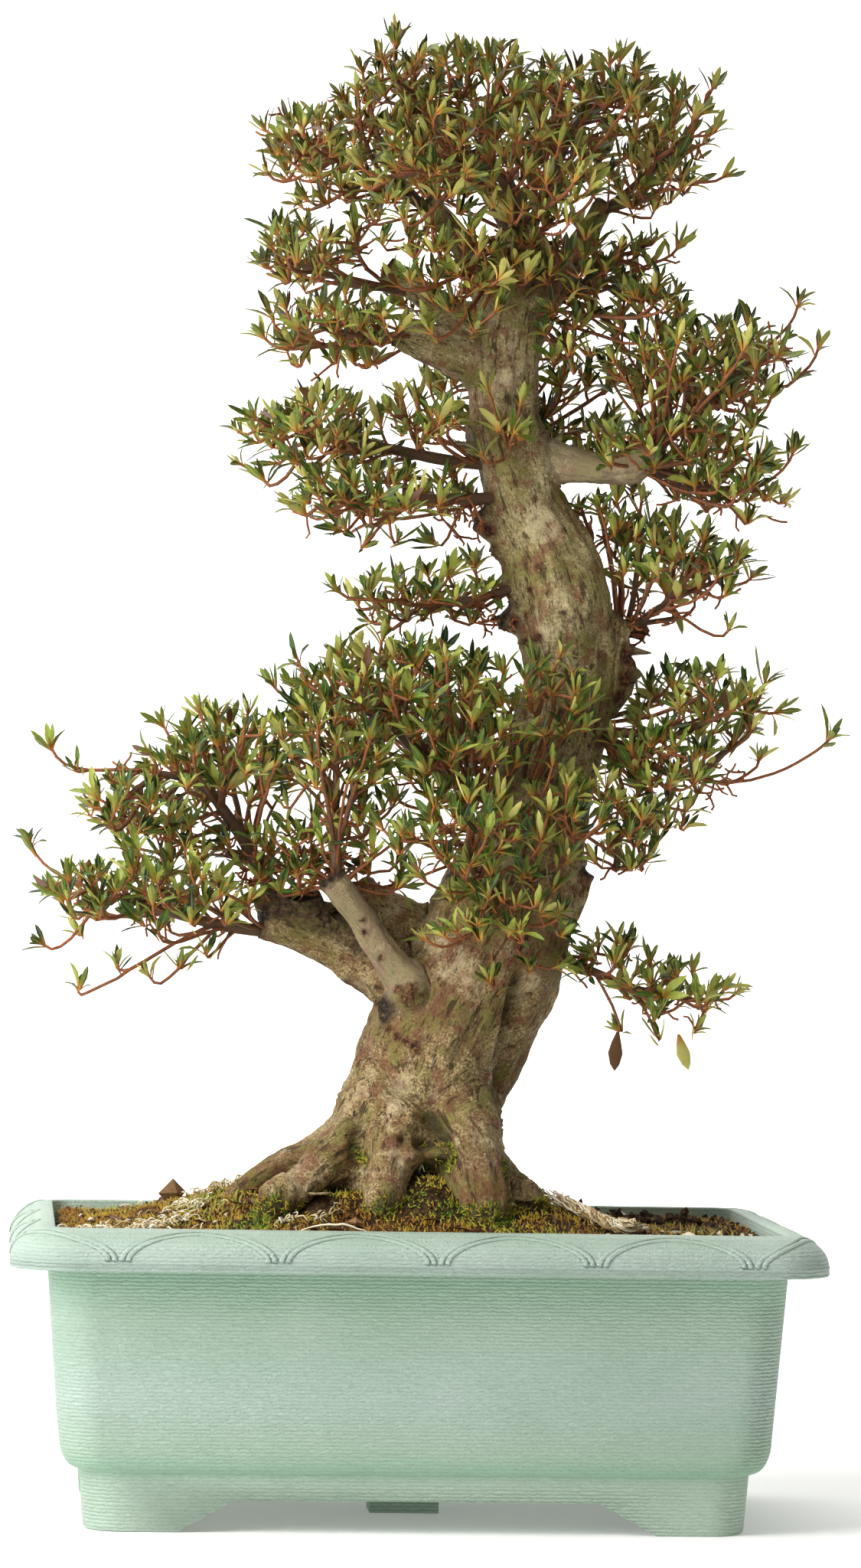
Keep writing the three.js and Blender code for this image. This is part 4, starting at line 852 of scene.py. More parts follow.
bark = new_material("smooth_azalea_bark")
bark_place = add_node(bark, "ShaderNodeTexCoord")
fibre_run = add_node(bark, "ShaderNodeAttribute", {"attribute_name": "grain"})
bark_marks = add_node(bark, "ShaderNodeAttribute", {"attribute_name": "marks"})
mark_parts = add_node(bark, "ShaderNodeSeparateXYZ", None, {"Vector": bark_marks.outputs["Vector"]})
ageing_marks = add_node(bark, "ShaderNodeAttribute", {"attribute_name": "ageing"})
ageing_parts = add_node(bark, "ShaderNodeSeparateXYZ", None, {"Vector": ageing_marks.outputs["Vector"]})
grains = []
for wide, long, detail, rough in (FIBRE, WRINKLE, FLECK):
    drawn_out = add_node(
        bark, "ShaderNodeVectorMath", {"operation": "MULTIPLY", 1: (1 / wide, 1 / wide, 1 / long)},
        {0: fibre_run.outputs["Vector"]})
    grains.append(add_node(
        bark, "ShaderNodeTexNoise", {"Scale": 1.0, "Detail": detail, "Roughness": rough},
        {"Vector": drawn_out.outputs["Vector"]}).outputs["Fac"])
fibres, wrinkles, flecks = grains
patches = []
for size, detail, rough in (STIPPLE, BLUSH, TINT_PATCH, STAIN, CRUMBLE):
    patches.append(add_node(
        bark, "ShaderNodeTexNoise", {"Scale": 1 / (size * MM), "Detail": detail, "Roughness": rough},
        {"Vector": bark_place.outputs["Object"]}).outputs["Fac"])
stipple_grain, blush, tints, stains, crumble = patches


def lay_tint(material, mask, low, high, base, tint, most):
    """Lays a tint over a base colour where a mask rises from low to high, and gives the new colour."""
    amount = add_node(
        material, "ShaderNodeMapRange", {"From Min": low, "From Max": high, "To Max": most}, {"Value": mask})
    mixed = add_node(
        material, "ShaderNodeMixRGB", {"Color2": linear(tint)},
        {"Fac": amount.outputs["Result"], "Color1": base})
    return mixed.outputs["Color"]


grain_mix = add_node(
    bark, "ShaderNodeMath", {"operation": "MULTIPLY_ADD", 1: 0.22}, {0: fibres, 2: stipple_grain})
base_tone = add_node(
    bark, "ShaderNodeValToRGB",
    {"stops": [(0.46, "#45331b"), (0.54, "#7c653c"), (0.62, "#a78f60"), (0.75, "#e2d19e")]},
    {"Fac": grain_mix.outputs["Value"]})

# What lies over the base tone in turn: paler bark higher up, brown stains, olive and purple-brown
# tints, dark wrinkles, light patches, dark flecks, the two greyed limbs, and the damp at the foot with
# painted shade in the hollows and eye pits
bark_tone = base_tone.outputs["Color"]
for mask, low, high, tint, most in (
        (mark_parts.outputs["Z"], 0.1, 0.9, "#a39c70", 0.35), (stains, 0.47, 0.58, "#745334", 0.6),
        (tints, 0.50, 0.59, "#7f7c38", 0.66), (blush, 0.50, 0.58, "#7c4a38", 0.7),
        (wrinkles, 0.54, 0.61, "#332312", 0.82), (tints, 0.46, 0.37, "#dccaa0", 0.52),
        (flecks, 0.59, 0.64, "#291c12", 0.9), (ageing_parts.outputs["Y"], 0.2, 0.8, "#b8a88a", 0.36),
        (mark_parts.outputs["Y"], 0.1, 0.9, "#35321a", 0.8)):
    bark_tone = lay_tint(bark, mask, low, high, bark_tone, tint, most)

# Callus over healed cuts is red-brown, and the dead crust of stubs and sawn ends is grey-black
for part, stops in (
        (mark_parts.outputs["X"],
         [(0.38, "#1e100b"), (0.5, "#4c2718"), (0.6, "#7c4e2d"), (0.72, "#b98f58")]),
        (ageing_parts.outputs["X"],
         [(0.38, "#17120e"), (0.5, "#3a2e23"), (0.62, "#5f4c39"), (0.75, "#8c7a60")])):
    crust_tone = add_node(bark, "ShaderNodeValToRGB", {"stops": stops}, {"Fac": crumble})
    crusted = add_node(
        bark, "ShaderNodeMixRGB", None,
        {"Fac": part, "Color1": bark_tone, "Color2": crust_tone.outputs["Color"]})
    bark_tone = crusted.outputs["Color"]
bark_heights = add_node(
    bark, "ShaderNodeMath", {"operation": "MULTIPLY_ADD", 1: 0.6},
    {0: crumble, 2: grain_mix.outputs["Value"]})
bark_relief = add_node(
    bark, "ShaderNodeBump", {"Strength": 1.0, "Distance": 1.5 * MM},
    {"Height": bark_heights.outputs["Value"]})
bark_dull = add_node(bark, "ShaderNodeMapRange", {"To Min": 0.62, "To Max": 0.9}, {"Value": blush})
finish_material(
    bark, {"IOR": 1.45, "Specular IOR Level": 0.35},
    {"Base Color": bark_tone, "Roughness": bark_dull.outputs["Result"],
     "Normal": bark_relief.outputs["Normal"]})
joined.materials.clear()
joined.materials.append(bark)
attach(trunk, "root")
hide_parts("trunk")

# The leafy sprays: each limb end carries thin red-brown twigs that fork and turn upward, and every
# twig ends in a rosette of narrow glossy leaves round a bud. They are one living growth with the
# trunk. Each spray is its stems, then the clouds that its tips fill, then its furthest tips.
SPRAYS = {
    "crown_left": (
        [(6, 0, 984, 5), (-28, -4, 1004, 4), (-66, -8, 1022, 3), (-98, -10, 1040, 2)],
        [(-88, -10, 1018, 36, 76, 32), (-48, 10, 1052, 28, 66, 24), (-60, -10, 990, 46, 50, 14)],
        [(-124, -8, 1042), (-50, -4, 1090)]),
    "crown_top": (
        [(68, 9, 966, 6), (44, 6, 1004, 5), (16, 2, 1044, 4), (-8, -2, 1080, 3)],
        [(-20, -5, 1072, 34, 70, 32), (36, 0, 1066, 41, 85, 38)],
        [(-24, -4, 1111), (24, 0, 1104)]),
    "crown_right_top": (
        [(80, 10, 968, 6), (97, 8, 1014, 5), (114, 4, 1052, 4), (132, 0, 1080, 3)],
        [(95, 0, 1058, 41, 90, 38), (145, 0, 1060, 34, 80, 36)],
        [(147, -2, 1104), (96, 2, 1096)]),
    "crown_right": (
        [(134, 13, 986, 6), (160, 8, 1008, 4.5), (186, 2, 1034, 3), (206, 0, 1060, 2)],
        [(184, 0, 1042, 31, 70, 38), (168, -10, 1004, 40, 60, 24)],
        [(218, -5, 1084), (228, -8, 1016)]),
    "crown_front": (
        [(74, 4, 958, 6.5), (66, -28, 980, 4.5), (52, -58, 1004, 3), (20, -72, 1014, 2)],
        [(-3, -76, 1004, 50, 46, 42), (72, -76, 1001, 50, 46, 46), (28, -58, 922, 48, 36, 42),
         (92, -46, 946, 40, 28, 36)],
        []),
    "crown_back": (
        [(76, 14, 964, 6.5), (76, 50, 996, 4.5), (66, 82, 1024, 3), (40, 96, 1044, 2)],
        [(9, 90, 1036, 50, 52, 44), (104, 90, 1038, 50, 52, 44)],
        []),
    "left_upper": (
        [(0, 8, 921, 5), (-42, 2, 928, 4), (-82, -6, 936, 3), (-108, -10, 946, 2)],
        [(-92, -10, 943, 34, 74, 26), (7, 44, 922, 26, 44, 22), (-34, -12, 968, 36, 40, 28)],
        [(-122, -6, 938), (-104, -10, 926)]),
    "left_upper_low": (
        [(4, -5, 890, 4.5), (-34, -20, 886, 3.5), (-74, -26, 878, 3), (-106, -24, 874, 2)],
        [(-64, -22, 888, 58, 66, 28)],
        [(-122, -16, 884), (-96, -20, 862), (-70, -24, 864), (-44, -20, 862)]),
    "left_mid": (
        [(62, -4, 792, 6.5), (22, -14, 794, 5), (-28, -22, 802, 4), (-78, -25, 812, 3), (-112, -22, 820, 2)],
        [(-82, -20, 808, 50, 80, 32), (-4, -46, 818, 28, 46, 26)],
        [(-140, -16, 812), (-138, -20, 788), (-120, -20, 776)]),
    "left_mid_low": (
        [(70, -8, 768, 5.5), (16, -28, 764, 4.5), (-36, -40, 762, 3), (-74, -42, 760, 2)],
        [(-42, -34, 760, 60, 72, 28), (32, -4, 758, 28, 34, 26)],
        [(-44, -30, 728), (-92, -36, 750), (-66, -30, 738), (-18, -30, 732), (10, -24, 730)]),
    "left_low_mid": (
        [(94, -12, 708, 5.5), (50, -16, 692, 4.5), (8, -14, 684, 3.5), (-28, -12, 688, 2.5)],
        [(-2, -12, 686, 54, 54, 25), (44, -8, 690, 18, 30, 26)],
        [(-62, -10, 694)]),
    "right_upper": (
        [(72, 9, 912, 5.5), (112, 12, 926, 4.5), (150, 12, 940, 3), (176, 8, 950, 2)],
        [(140, 12, 938, 38, 62, 26), (168, -20, 910, 31, 56, 24), (108, -8, 896, 24, 40, 44)],
        [(194, -4, 962), (176, -2, 966)]),
    "right_mid_top": (
        [(172, -24, 801, 6.5), (200, -12, 828, 4.5), (234, -4, 860, 3.5), (262, -6, 886, 2.5)],
        [(204, 0, 866, 66, 92, 38), (254, -10, 880, 28, 52, 24), (244, -8, 838, 30, 46, 20)],
        [(286, -6, 920), (302, -8, 888), (284, -8, 862)]),
    "right_mid": (
        [(160, -22, 792, 6), (196, -10, 784, 4.5), (232, -8, 778, 3.5), (258, -12, 776, 2.5)],
        [(193, 0, 798, 80, 92, 32), (228, -20, 772, 36, 56, 22)],
        [(277, -14, 768), (250, -14, 752)]),
    "right_low_mid": (
        [(148, 8, 656, 6), (172, 4, 678, 4.5), (200, 0, 696, 3.5), (228, 0, 708, 2.5)],
        [(200, 0, 716, 54, 74, 30), (142, 16, 748, 46, 50, 30)],
        [(255, -2, 712), (238, -6, 672)]),
    "right_low": (
        [(118, 2, 600, 6), (152, -8, 580, 4.5), (190, -12, 562, 3.5), (236, -10, 554, 2.2)],
        [(214, 0, 608, 52, 72, 30), (182, -30, 564, 42, 62, 30), (188, -12, 528, 26, 40, 34)],
        [(266, -4, 632), (316, -8, 590), (262, -8, 574), (204, -14, 518), (170, -20, 490), (188, -16, 496)]),
    "centre_left": (
        [(86, 4, 524, 8), (42, -14, 546, 6), (2, -24, 572, 4.5), (-26, -28, 600, 3)],
        [(-16, -20, 616, 72, 92, 38), (28, -60, 575, 46, 60, 38), (88, -66, 606, 46, 26, 46)],
        [(-92, -20, 642), (-110, -14, 622)]),
    "centre_left_low": (
        [(-60, -49, 470, 5.5), (-62, -46, 506, 4.5), (-62, -42, 546, 3.5), (-62, -38, 580, 2.5)],
        [(-66, -44, 572, 40, 70, 42), (-84, -26, 500, 34, 46, 34), (-34, -26, 504, 36, 40, 36),
         (-88, -30, 470, 26, 26, 18), (-22, -20, 474, 22, 24, 16)],
        []),
    "far_left_top": (
        [(-96, -6, 444, 5), (-117, 4, 484, 4), (-138, 6, 518, 3.5), (-164, 0, 546, 2.6),
         (-206, -6, 556, 2)],
        [(-142, 4, 560, 60, 88, 38), (-204, -6, 522, 44, 68, 28), (-112, -4, 490, 34, 40, 28)],
        [(-276, -6, 572), (-258, -6, 556), (-246, -8, 546)]),
    "far_left": (
        [(-104, -10, 435, 6), (-150, -18, 441, 4.5), (-200, -24, 454, 3.5), (-244, -26, 466, 2.5)],
        [(-236, -20, 459, 42, 64, 22), (-186, -30, 456, 60, 70, 30), (-190, -10, 500, 36, 54, 20)],
        [(-290, -14, 500), (-274, -18, 462), (-280, -20, 424), (-252, -24, 392),
         (-224, -22, 408), (-200, -30, 402), (-178, -24, 408), (-158, -34, 420), (-252, -12, 432)]),
    "centre_low": (
        [(58, -20, 446, 7), (46, -60, 466, 5), (36, -84, 492, 3.5), (20, -94, 514, 2.5)],
        [(27, -96, 506, 54, 46, 40), (61, -98, 452, 50, 42, 38), (98, -80, 520, 44, 30, 44)],
        [(52, -74, 404), (84, -66, 412), (108, -56, 414), (40, -80, 420), (4, -66, 434), (66, -78, 416)]),
    "right_lowest": (
        [(92, -16, 428, 5.5), (130, -28, 412, 4.5), (168, -36, 398, 3.5), (206, -40, 390, 2.5)],
        [(150, -30, 412, 31, 48, 24), (190, -40, 390, 45, 50, 26)],
        [(244, -36, 396), (154, -34, 366), (186, -36, 362), (200, -34, 362), (212, -38, 368)]),
    "right_centre": (
        [(154, -7, 488, 5), (152, -34, 512, 4), (140, -62, 530, 3.5), (122, -84, 546, 2.5)],
        [(136, -58, 522, 42, 50, 36), (152, -24, 488, 26, 30, 22)],
        []),
    "front_mid": (
        [(68, -16, 800, 3), (62, -34, 806, 2.5), (58, -46, 816, 2)],
        [(58, -52, 812, 20, 12, 44)],
        []),
    "back_mid": (
        [(72, 10, 796, 6), (84, 50, 812, 4.5), (90, 84, 830, 3.5), (90, 112, 846, 2.5)],
        [(90, 98, 838, 76, 46, 54)],
        []),
    "back_low": (
        [(90, 20, 522, 7), (82, 62, 540, 5), (70, 96, 560, 4), (58, 120, 576, 2.5)],
        [(60, 112, 574, 88, 50, 54)],
        []),
}
# How the tips fill the clouds, in millimetres and in shares of a cloud
TIP_SPACING = 18.6
VOLUME_PER_TRY = 320
CROWD_OUTWARD = 0.42
CLOUD_EDGE = 1.04
LONG_SHOOTS = 0.07
LONG_SHOOT_EDGE = (1.06, 1.2)
HOLLOW_CORE = 0.5
CORE_BARE = 0.6
CLEAR_OF_BARK = 13
BOX_MARGIN = 1.0
BELOW_TIP = 14
ABOVE_TIP = (14, 14, 22)
# How twigs thicken, and how they bend on their way from a fork to a tip
TWIG_RADIUS = 0.92
TWIG_SIDES = 4
STEM_SIDES = 8
TWIG_GROWTH = 0.38
TWIG_STEP = 9
TWIG_STEPS = (3, 14)
TWIG_SAG = 0.05
TWIG_PULL = 0.36
LONGEST_PULL = 26
FORK_ROOM = 7
CROWDED_FORK = 40
OFF_THE_STEM = 500
BY_STEM_END = 50
LARGEST_BEND = 0.9
LEADER_SHARE = 4
SPUR_SHARE = 0.8
# How the leaves stand round a tip, their outline, sizes and tints. The mottle of the green and the
# grain of the twigs are finer on the plant; both are drawn coarser, to show.
GOLDEN_ANGLE = math.radians(137.5)
LEAF_STATIONS = [(0.0, 0.2), (0.26, 0.66), (0.54, 1.0), (0.82, 0.64)]
SCALE_STATIONS = [(0.0, 0.7), (0.45, 1.0)]
INNER_LEAF = 13.5
OUTER_GAIN = 8.5
LENGTH_SPREAD = 3.2
LEAF_THICKNESS = 0.5
OPEN_STARS = 0.12
DEAD_LEAVES = 0.012
SHORTENED = 0.62
LEAF_EDGE_ANGLE = math.radians(65)
LEAF_FOOT = "#b57428"
PALE_LEAF = "#a99a4a"
DEAD_LEAF = "#5e3a26"
LEAF_MOTTLE = 2.857 * MM
TWIG_GRAIN = 3.846 * MM

picks = np.random.default_rng(20260731)
box_low = np.array(cad_low) / MM + BOX_MARGIN
box_high = np.array(cad_high) / MM - BOX_MARGIN
bark_tree = BVHTree.FromPolygons([tuple(point) for point in skin], skin_faces)
taken_tips = []


def unit(vectors):
    """Vectors at length one."""
    return vectors / (np.linalg.norm(vectors, axis=-1, keepdims=True) + 1e-9)


def spray_tips(clouds, reach):
    """Places for the shoot tips of a spray, evenly apart, with the way that each one faces."""
    tips = []
    for x, y, z in reach:
        nearest = min(clouds, key=lambda cloud: math.dist((x, y, z), cloud[:3]))
        tips.append(((x, y, z), nearest))
    volumes = np.array([rx * ry * rz for x, y, z, rx, ry, rz in clouds], dtype=float)
    for _ in range(int(volumes.sum() / VOLUME_PER_TRY)):
        cloud = clouds[picks.choice(len(clouds), p=volumes / volumes.sum())]
        way = unit(picks.normal(size=3))
        share = picks.random() ** CROWD_OUTWARD * CLOUD_EDGE
        if way[2] > 0 and picks.random() < LONG_SHOOTS:
            share = picks.uniform(*LONG_SHOOT_EDGE)
        if share < HOLLOW_CORE and picks.random() < CORE_BARE:
            continue
        if way[2] * share < -0.1 and picks.random() < 0.25 - 0.8 * way[2] * share:
            continue
        place = np.array(cloud[:3]) + np.array(cloud[3:]) * way * share
        tips.append((tuple(place), cloud))
    chosen = []
    for place, cloud in tips:
        place = np.clip(np.array(place, dtype=float), box_low + BELOW_TIP, box_high - ABOVE_TIP)
        if taken_tips:
            gap = np.linalg.norm(np.array(taken_tips) - place, axis=1).min()
            if gap < TIP_SPACING * (0.8 + 0.4 * picks.random()):
                continue
        if bark_tree.find_nearest(Vector(place))[3] < CLEAR_OF_BARK:
            continue
        taken_tips.append(place)
        outward = unit((place - np.array(cloud[:3])) / np.array(cloud[3:]))
        facing = unit(np.array((0, 0, 0.85)) + outward * (0.55, 0.55, 0.25) + picks.normal(size=3) * 0.22)
        chosen.append((place, facing))
    return chosen


def grow_twigs(stems, tips, spurs):
    """Grows twigs from the stems: long leaders that fan out first, then a twig to every other tip.

    Each takes the best fork so far, and spurs are short bare ones. Returns nodes, runs and ends."""
    places, ways, parents, least, runs = [], [], [], [], []
    for stations in stems:
        rows = smooth_stations(stations)[::2]
        along = unit(np.gradient(rows[:, :3], axis=0))
        for index, row in enumerate(rows):
            parents.append(len(places) - 1 if index else -1)
            places.append(row[:3])
            ways.append(along[index])
            least.append(row[3] * 0.5)
        runs.append(list(range(len(places) - len(rows), len(places))))
    stem_count = len(places)
    stem_places = np.array(places)
    spots = np.array([place for place, _ in tips])
    leaders = []
    spread = np.linalg.norm(spots - stem_places[stem_count // 2], axis=1)
    for _ in range(min(len(tips), max(4, len(tips) // LEADER_SHARE))):
        chosen = int(spread.argmax())
        leaders.append(chosen)
        spread = np.minimum(spread, np.linalg.norm(spots - spots[chosen], axis=1))
    rest = [tip for index, tip in enumerate(tips) if index not in leaders]
    rest.sort(key=lambda tip: np.linalg.norm(stem_places - tip[0], axis=1).min())
    order = [(*tips[index], True, True) for index in leaders]
    order += [(*tip, False, True) for tip in rest] + [(*spur, False, False) for spur in spurs]
    ends = []
    for place, facing, leads, leafy in order:
        far = place - np.array(places)
        length = np.linalg.norm(far, axis=1) + 1e-6
        straight = (far * np.array(ways)).sum(1) / length
        cost = length * (1 + LARGEST_BEND * (1 - straight)) + 4
        cost[length < FORK_ROOM] += CROWDED_FORK
        if leads:
            cost[stem_count:] += OFF_THE_STEM
            cost[:stem_count] += np.linspace(0, BY_STEM_END, stem_count)
        fork = int(cost.argmin())
        start, leave, reach = places[fork], ways[fork], length[fork]
        toward = far[fork] / reach
        first_pull = start + unit(leave * 0.45 + toward * 0.75) * reach * TWIG_PULL
        first_pull = first_pull - (0, 0, reach * TWIG_SAG)
        last_pull = place - facing * min(reach * TWIG_PULL, LONGEST_PULL)
        last_pull = last_pull + picks.normal(size=3) * reach * 0.03
        steps = int(np.clip(round(reach / TWIG_STEP), *TWIG_STEPS))
        run = [fork]
        for step in range(1, steps + 1):
            t = step / steps
            point = (start * (1 - t) ** 3 + first_pull * 3 * t * (1 - t) ** 2
                     + last_pull * 3 * t * t * (1 - t) + place * t ** 3)
            if step < steps:
                point = point + picks.normal(size=3) * 0.3
            parents.append(run[-1])
            run.append(len(places))
            places.append(point)
            ways.append(unit(point - places[run[-2]]))
            least.append(0.0)
        runs.append(run)
        ends.append((run[-1], place, facing, leafy, unit(place - places[run[-2]])))
    carried = np.zeros(len(places))
    for node, _, _, leafy, _ in ends:
        while node >= 0:
            carried[node] += leafy
            node = parents[node]
    radii = np.maximum(TWIG_RADIUS * (1 + carried) ** TWIG_GROWTH, np.array(least))
    return np.array(places), radii, runs, ends


def twig_tubes(places, radii, runs, stem_count):
    """Tubes round every run of nodes, with the age of the bark at each point."""
    points, faces, ages = [], [], []
    for number, run in enumerate(runs):
        sides = STEM_SIDES if number < stem_count else TWIG_SIDES
        centres = places[run]
        own = radii[run].copy()
        if number >= stem_count:
            own[0] = own[1]
        along = unit(np.gradient(centres, axis=0))
        across = unit(np.cross(along[0], (0.31, 0.87, 0.12)))
        rings = []
        for centre, radius, way in zip(centres, own, along):
            across = unit(across - way * (across @ way))
            side = np.cross(way, across)
            angles = np.arange(sides) * 2 * math.pi / sides
            ring = [centre + radius * (across * math.cos(turn) + side * math.sin(turn)) for turn in angles]
            rings.append([tuple(point) for point in ring])
            ages += [radius] * sides
        tube, tube_faces = loft(rings)
        faces += [tuple(len(points) + corner for corner in face) for face in tube_faces]
        points += tube
    return points, faces, ages


def leaf_blades(leaves, stations):
    """Closed lens-shaped blades. Each leaf is its root, axis, outward way and its measures."""
    root, axis, outward = leaves[:, 0:3], leaves[:, 3:6], leaves[:, 6:9]
    lean, bend, length, width, fold, twist = leaves[:, 9:15].T
    beside = np.cross(axis, outward)
    rings = []
    for share, breadth in [*stations, (1.0, 0.0)]:
        turned = lean + bend * share
        rise = (np.sin(turned) - np.sin(lean)) / bend * length
        spread = (np.cos(lean) - np.cos(turned)) / bend * length
        middle = root + axis * rise[:, None] + outward * spread[:, None]
        if breadth == 0:
            rings.append(middle[:, None])
            break
        over = axis * np.sin(turned)[:, None] - outward * np.cos(turned)[:, None]
        roll = (twist * share)[:, None]
        cross = beside * np.cos(roll) + over * np.sin(roll)
        over = over * np.cos(roll) - beside * np.sin(roll)
        half = (width * breadth / 2)[:, None]
        cup = (fold * (1 - 0.5 * share))[:, None]
        edge = cross * half * np.cos(cup)
        lift = over * half * np.sin(cup)
        keel = over * (LEAF_THICKNESS * (1.2 - 0.7 * share))
        rings.append(np.stack([middle - edge + lift, middle, middle + edge + lift, middle - keel], axis=1))
    points = np.concatenate(rings, axis=1)
    faces, sides = [(0, 1, 2, 3)], [1]
    for ring in range(len(stations)):
        low, high = 4 * ring, 4 * ring + 4
        for side in range(4):
            after = (side + 1) % 4
            if ring < len(stations) - 1:
                faces.append((low + side, high + side, high + after, low + after))
            else:
                faces.append((low + side, high, low + after))
            sides.append(0 if side < 2 else 1)
    across = [-1, 0, 1, 0] * len(stations) + [0]
    along = np.repeat([share for share, _ in stations], 4).tolist() + [1.0]
    return points, faces, sides, np.array(across, dtype=float), np.array(along)


def rosette(tip, axis, stalk, rows, scales, tone, bronze):
    """Adds one shoot's leaves: the inner ones upright, the outer ones spread, and its bud scales."""
    flat = unit(np.cross(axis, picks.normal(size=3)))
    other = np.cross(axis, flat)
    count = int(picks.integers(6, 9))
    open_star = picks.random() < OPEN_STARS
    size = picks.uniform(0.82, 1.14)
    start = picks.uniform(0, 2 * math.pi)
    for index in range(count + int(picks.integers(0, 2))):
        rank = min(1.0, index / (count - 1))
        turn_by = start + index * GOLDEN_ANGLE + picks.normal() * 0.2
        outward = flat * math.cos(turn_by) + other * math.sin(turn_by)
        lean = 0.12 + 0.52 * rank ** 1.2 + abs(picks.normal()) * 0.16
        if open_star:
            lean = 0.5 + 0.7 * rank + picks.normal() * 0.12
        length = size * (INNER_LEAF + OUTER_GAIN * rank ** 0.7 + picks.normal() * LENGTH_SPREAD)
        bend = picks.uniform(0.2, 1.1) if picks.random() < 0.55 else -picks.uniform(0.1, 0.5)
        down = 3.5 * rank
        if index >= count:
            down, lean, length = picks.uniform(7, 13), picks.uniform(0.5, 1.0), length * 0.8
        root = tip - stalk * down + outward * (0.5 + 0.3 * rank)
        width = length * picks.uniform(0.21, 0.3)
        fold, twist = picks.uniform(0.15, 0.6), picks.normal() * 0.35
        own_tone = tone + picks.normal() * 0.28
        dead = 1.0 if picks.random() < DEAD_LEAVES else 0.0
        rows.append((*root, *axis, *outward, max(lean, 0.06), bend, length, width, fold, twist,
                     own_tone, bronze, dead, picks.random()))
    for index in range(int(picks.integers(1, 4))):
        turn_by = start + 1 + index * GOLDEN_ANGLE
        outward = flat * math.cos(turn_by) + other * math.sin(turn_by)
        scales.append((*(tip - axis * 0.8), *axis, *outward, picks.uniform(0.05, 0.28), 0.12,
                       picks.uniform(6.5, 10.5), picks.uniform(1.7, 2.6), 0.4, 0.0, tone, bronze,
                       -picks.uniform(0.5, 1), picks.random()))


def leaf_piece(name, rows, scales, materials):
    """One mesh of all the leaves and bud scales of a spray, with what their colours depend on."""
    points, faces, sides, blade, tint = [], [], [], [], []
    for leaves, stations in ((np.array(rows), LEAF_STATIONS), (np.array(scales), SCALE_STATIONS)):
        for shorten in (1.0, SHORTENED):
            leaves[:, 11] *= shorten
            blades, own_faces, own_sides, across, along = leaf_blades(leaves, stations)
            fits = ((blades > box_low) & (blades < box_high)).all(axis=(1, 2))
            first = sum(len(block) for block in points)
            block = blades[fits]
            points.append(block.reshape(-1, 3))
            size = block.shape[1]
            for number in range(len(block)):
                offset = first + number * size
                faces += [tuple(offset + corner for corner in face) for face in own_faces]
            sides += own_sides * len(block)
            kept = leaves[fits]
            blade.append(np.stack([np.tile(across, len(kept)), np.tile(along, len(kept)),
                                   np.repeat(kept[:, 18], size)], axis=1))
            tint.append(np.repeat(kept[:, 15:18], size, axis=0))
            leaves = leaves[~fits]
            if not len(leaves):
                break
    piece = make_piece(name, np.concatenate(points), faces, materials, sides)
    for label, values in (("blade", blade), ("tint", tint)):
        layer = piece.data.attributes.new(label, "FLOAT_VECTOR", "POINT")
        layer.data.foreach_set("vector", np.concatenate(values).ravel())
    piece.data.set_sharp_from_angle(angle=LEAF_EDGE_ANGLE)
    return piece


def leaf_material(name, bronze_tone, gloss, stops, rib_tone, rib_most):
    """A leaf face: its green by tone, orange-brown at the foot, a rib line, bronze high in the crown."""
    leaf = new_material(name)
    blade = add_node(leaf, "ShaderNodeAttribute", {"attribute_name": "blade"})
    spots = add_node(leaf, "ShaderNodeSeparateXYZ", None, {"Vector": blade.outputs["Vector"]})
    tint = add_node(leaf, "ShaderNodeAttribute", {"attribute_name": "tint"})
    tones = add_node(leaf, "ShaderNodeSeparateXYZ", None, {"Vector": tint.outputs["Vector"]})
    place = add_node(leaf, "ShaderNodeTexCoord")
    cells = add_node(leaf, "ShaderNodeTexNoise", {"Scale": 1 / LEAF_MOTTLE, "Detail": 2.0},
                     {"Vector": place.outputs["Object"]})
    uneven = add_node(leaf, "ShaderNodeMath", {"operation": "MULTIPLY_ADD", 1: 0.35},
                      {0: cells.outputs["Fac"], 2: tones.outputs["X"]})
    green = add_node(leaf, "ShaderNodeValToRGB", {"stops": stops}, {"Fac": uneven.outputs["Value"]})

    side = add_node(leaf, "ShaderNodeMath", {"operation": "ABSOLUTE"}, {0: spots.outputs["X"]})
    colour = green.outputs["Color"]
    for mask, low, high, tone, most in (
            (tones.outputs["Y"], 0.0, 1.0, bronze_tone, 0.6),
            (side.outputs["Value"], 0.16, 0.03, rib_tone, rib_most),
            (spots.outputs["Y"], 0.42, 0.06, LEAF_FOOT, 0.92),
            (tones.outputs["Z"], -0.2, -0.8, PALE_LEAF, 0.85),
            (tones.outputs["Z"], 0.3, 0.7, DEAD_LEAF, 0.95)):
        colour = lay_tint(leaf, mask, low, high, colour, tone, most)
    slant = add_node(leaf, "ShaderNodeMath", {"operation": "MULTIPLY_ADD", 1: 0.32},
                     {0: side.outputs["Value"], 2: spots.outputs["Y"]})
    veins = add_node(
        leaf, "ShaderNodeMath", {"operation": "PINGPONG", 1: 0.06}, {0: slant.outputs["Value"]})
    relief = add_node(leaf, "ShaderNodeBump", {"Strength": 0.35, "Distance": 0.4 * MM},
                      {"Height": veins.outputs["Value"]})
    shine = add_node(leaf, "ShaderNodeMapRange", {"To Min": gloss, "To Max": gloss + 0.14},
                     {"Value": cells.outputs["Fac"]})
    finish_material(leaf, {"IOR": 1.46, "Specular IOR Level": 0.3},
                    {"Base Color": colour, "Roughness": shine.outputs["Result"],
                     "Normal": relief.outputs["Normal"]})
    return leaf


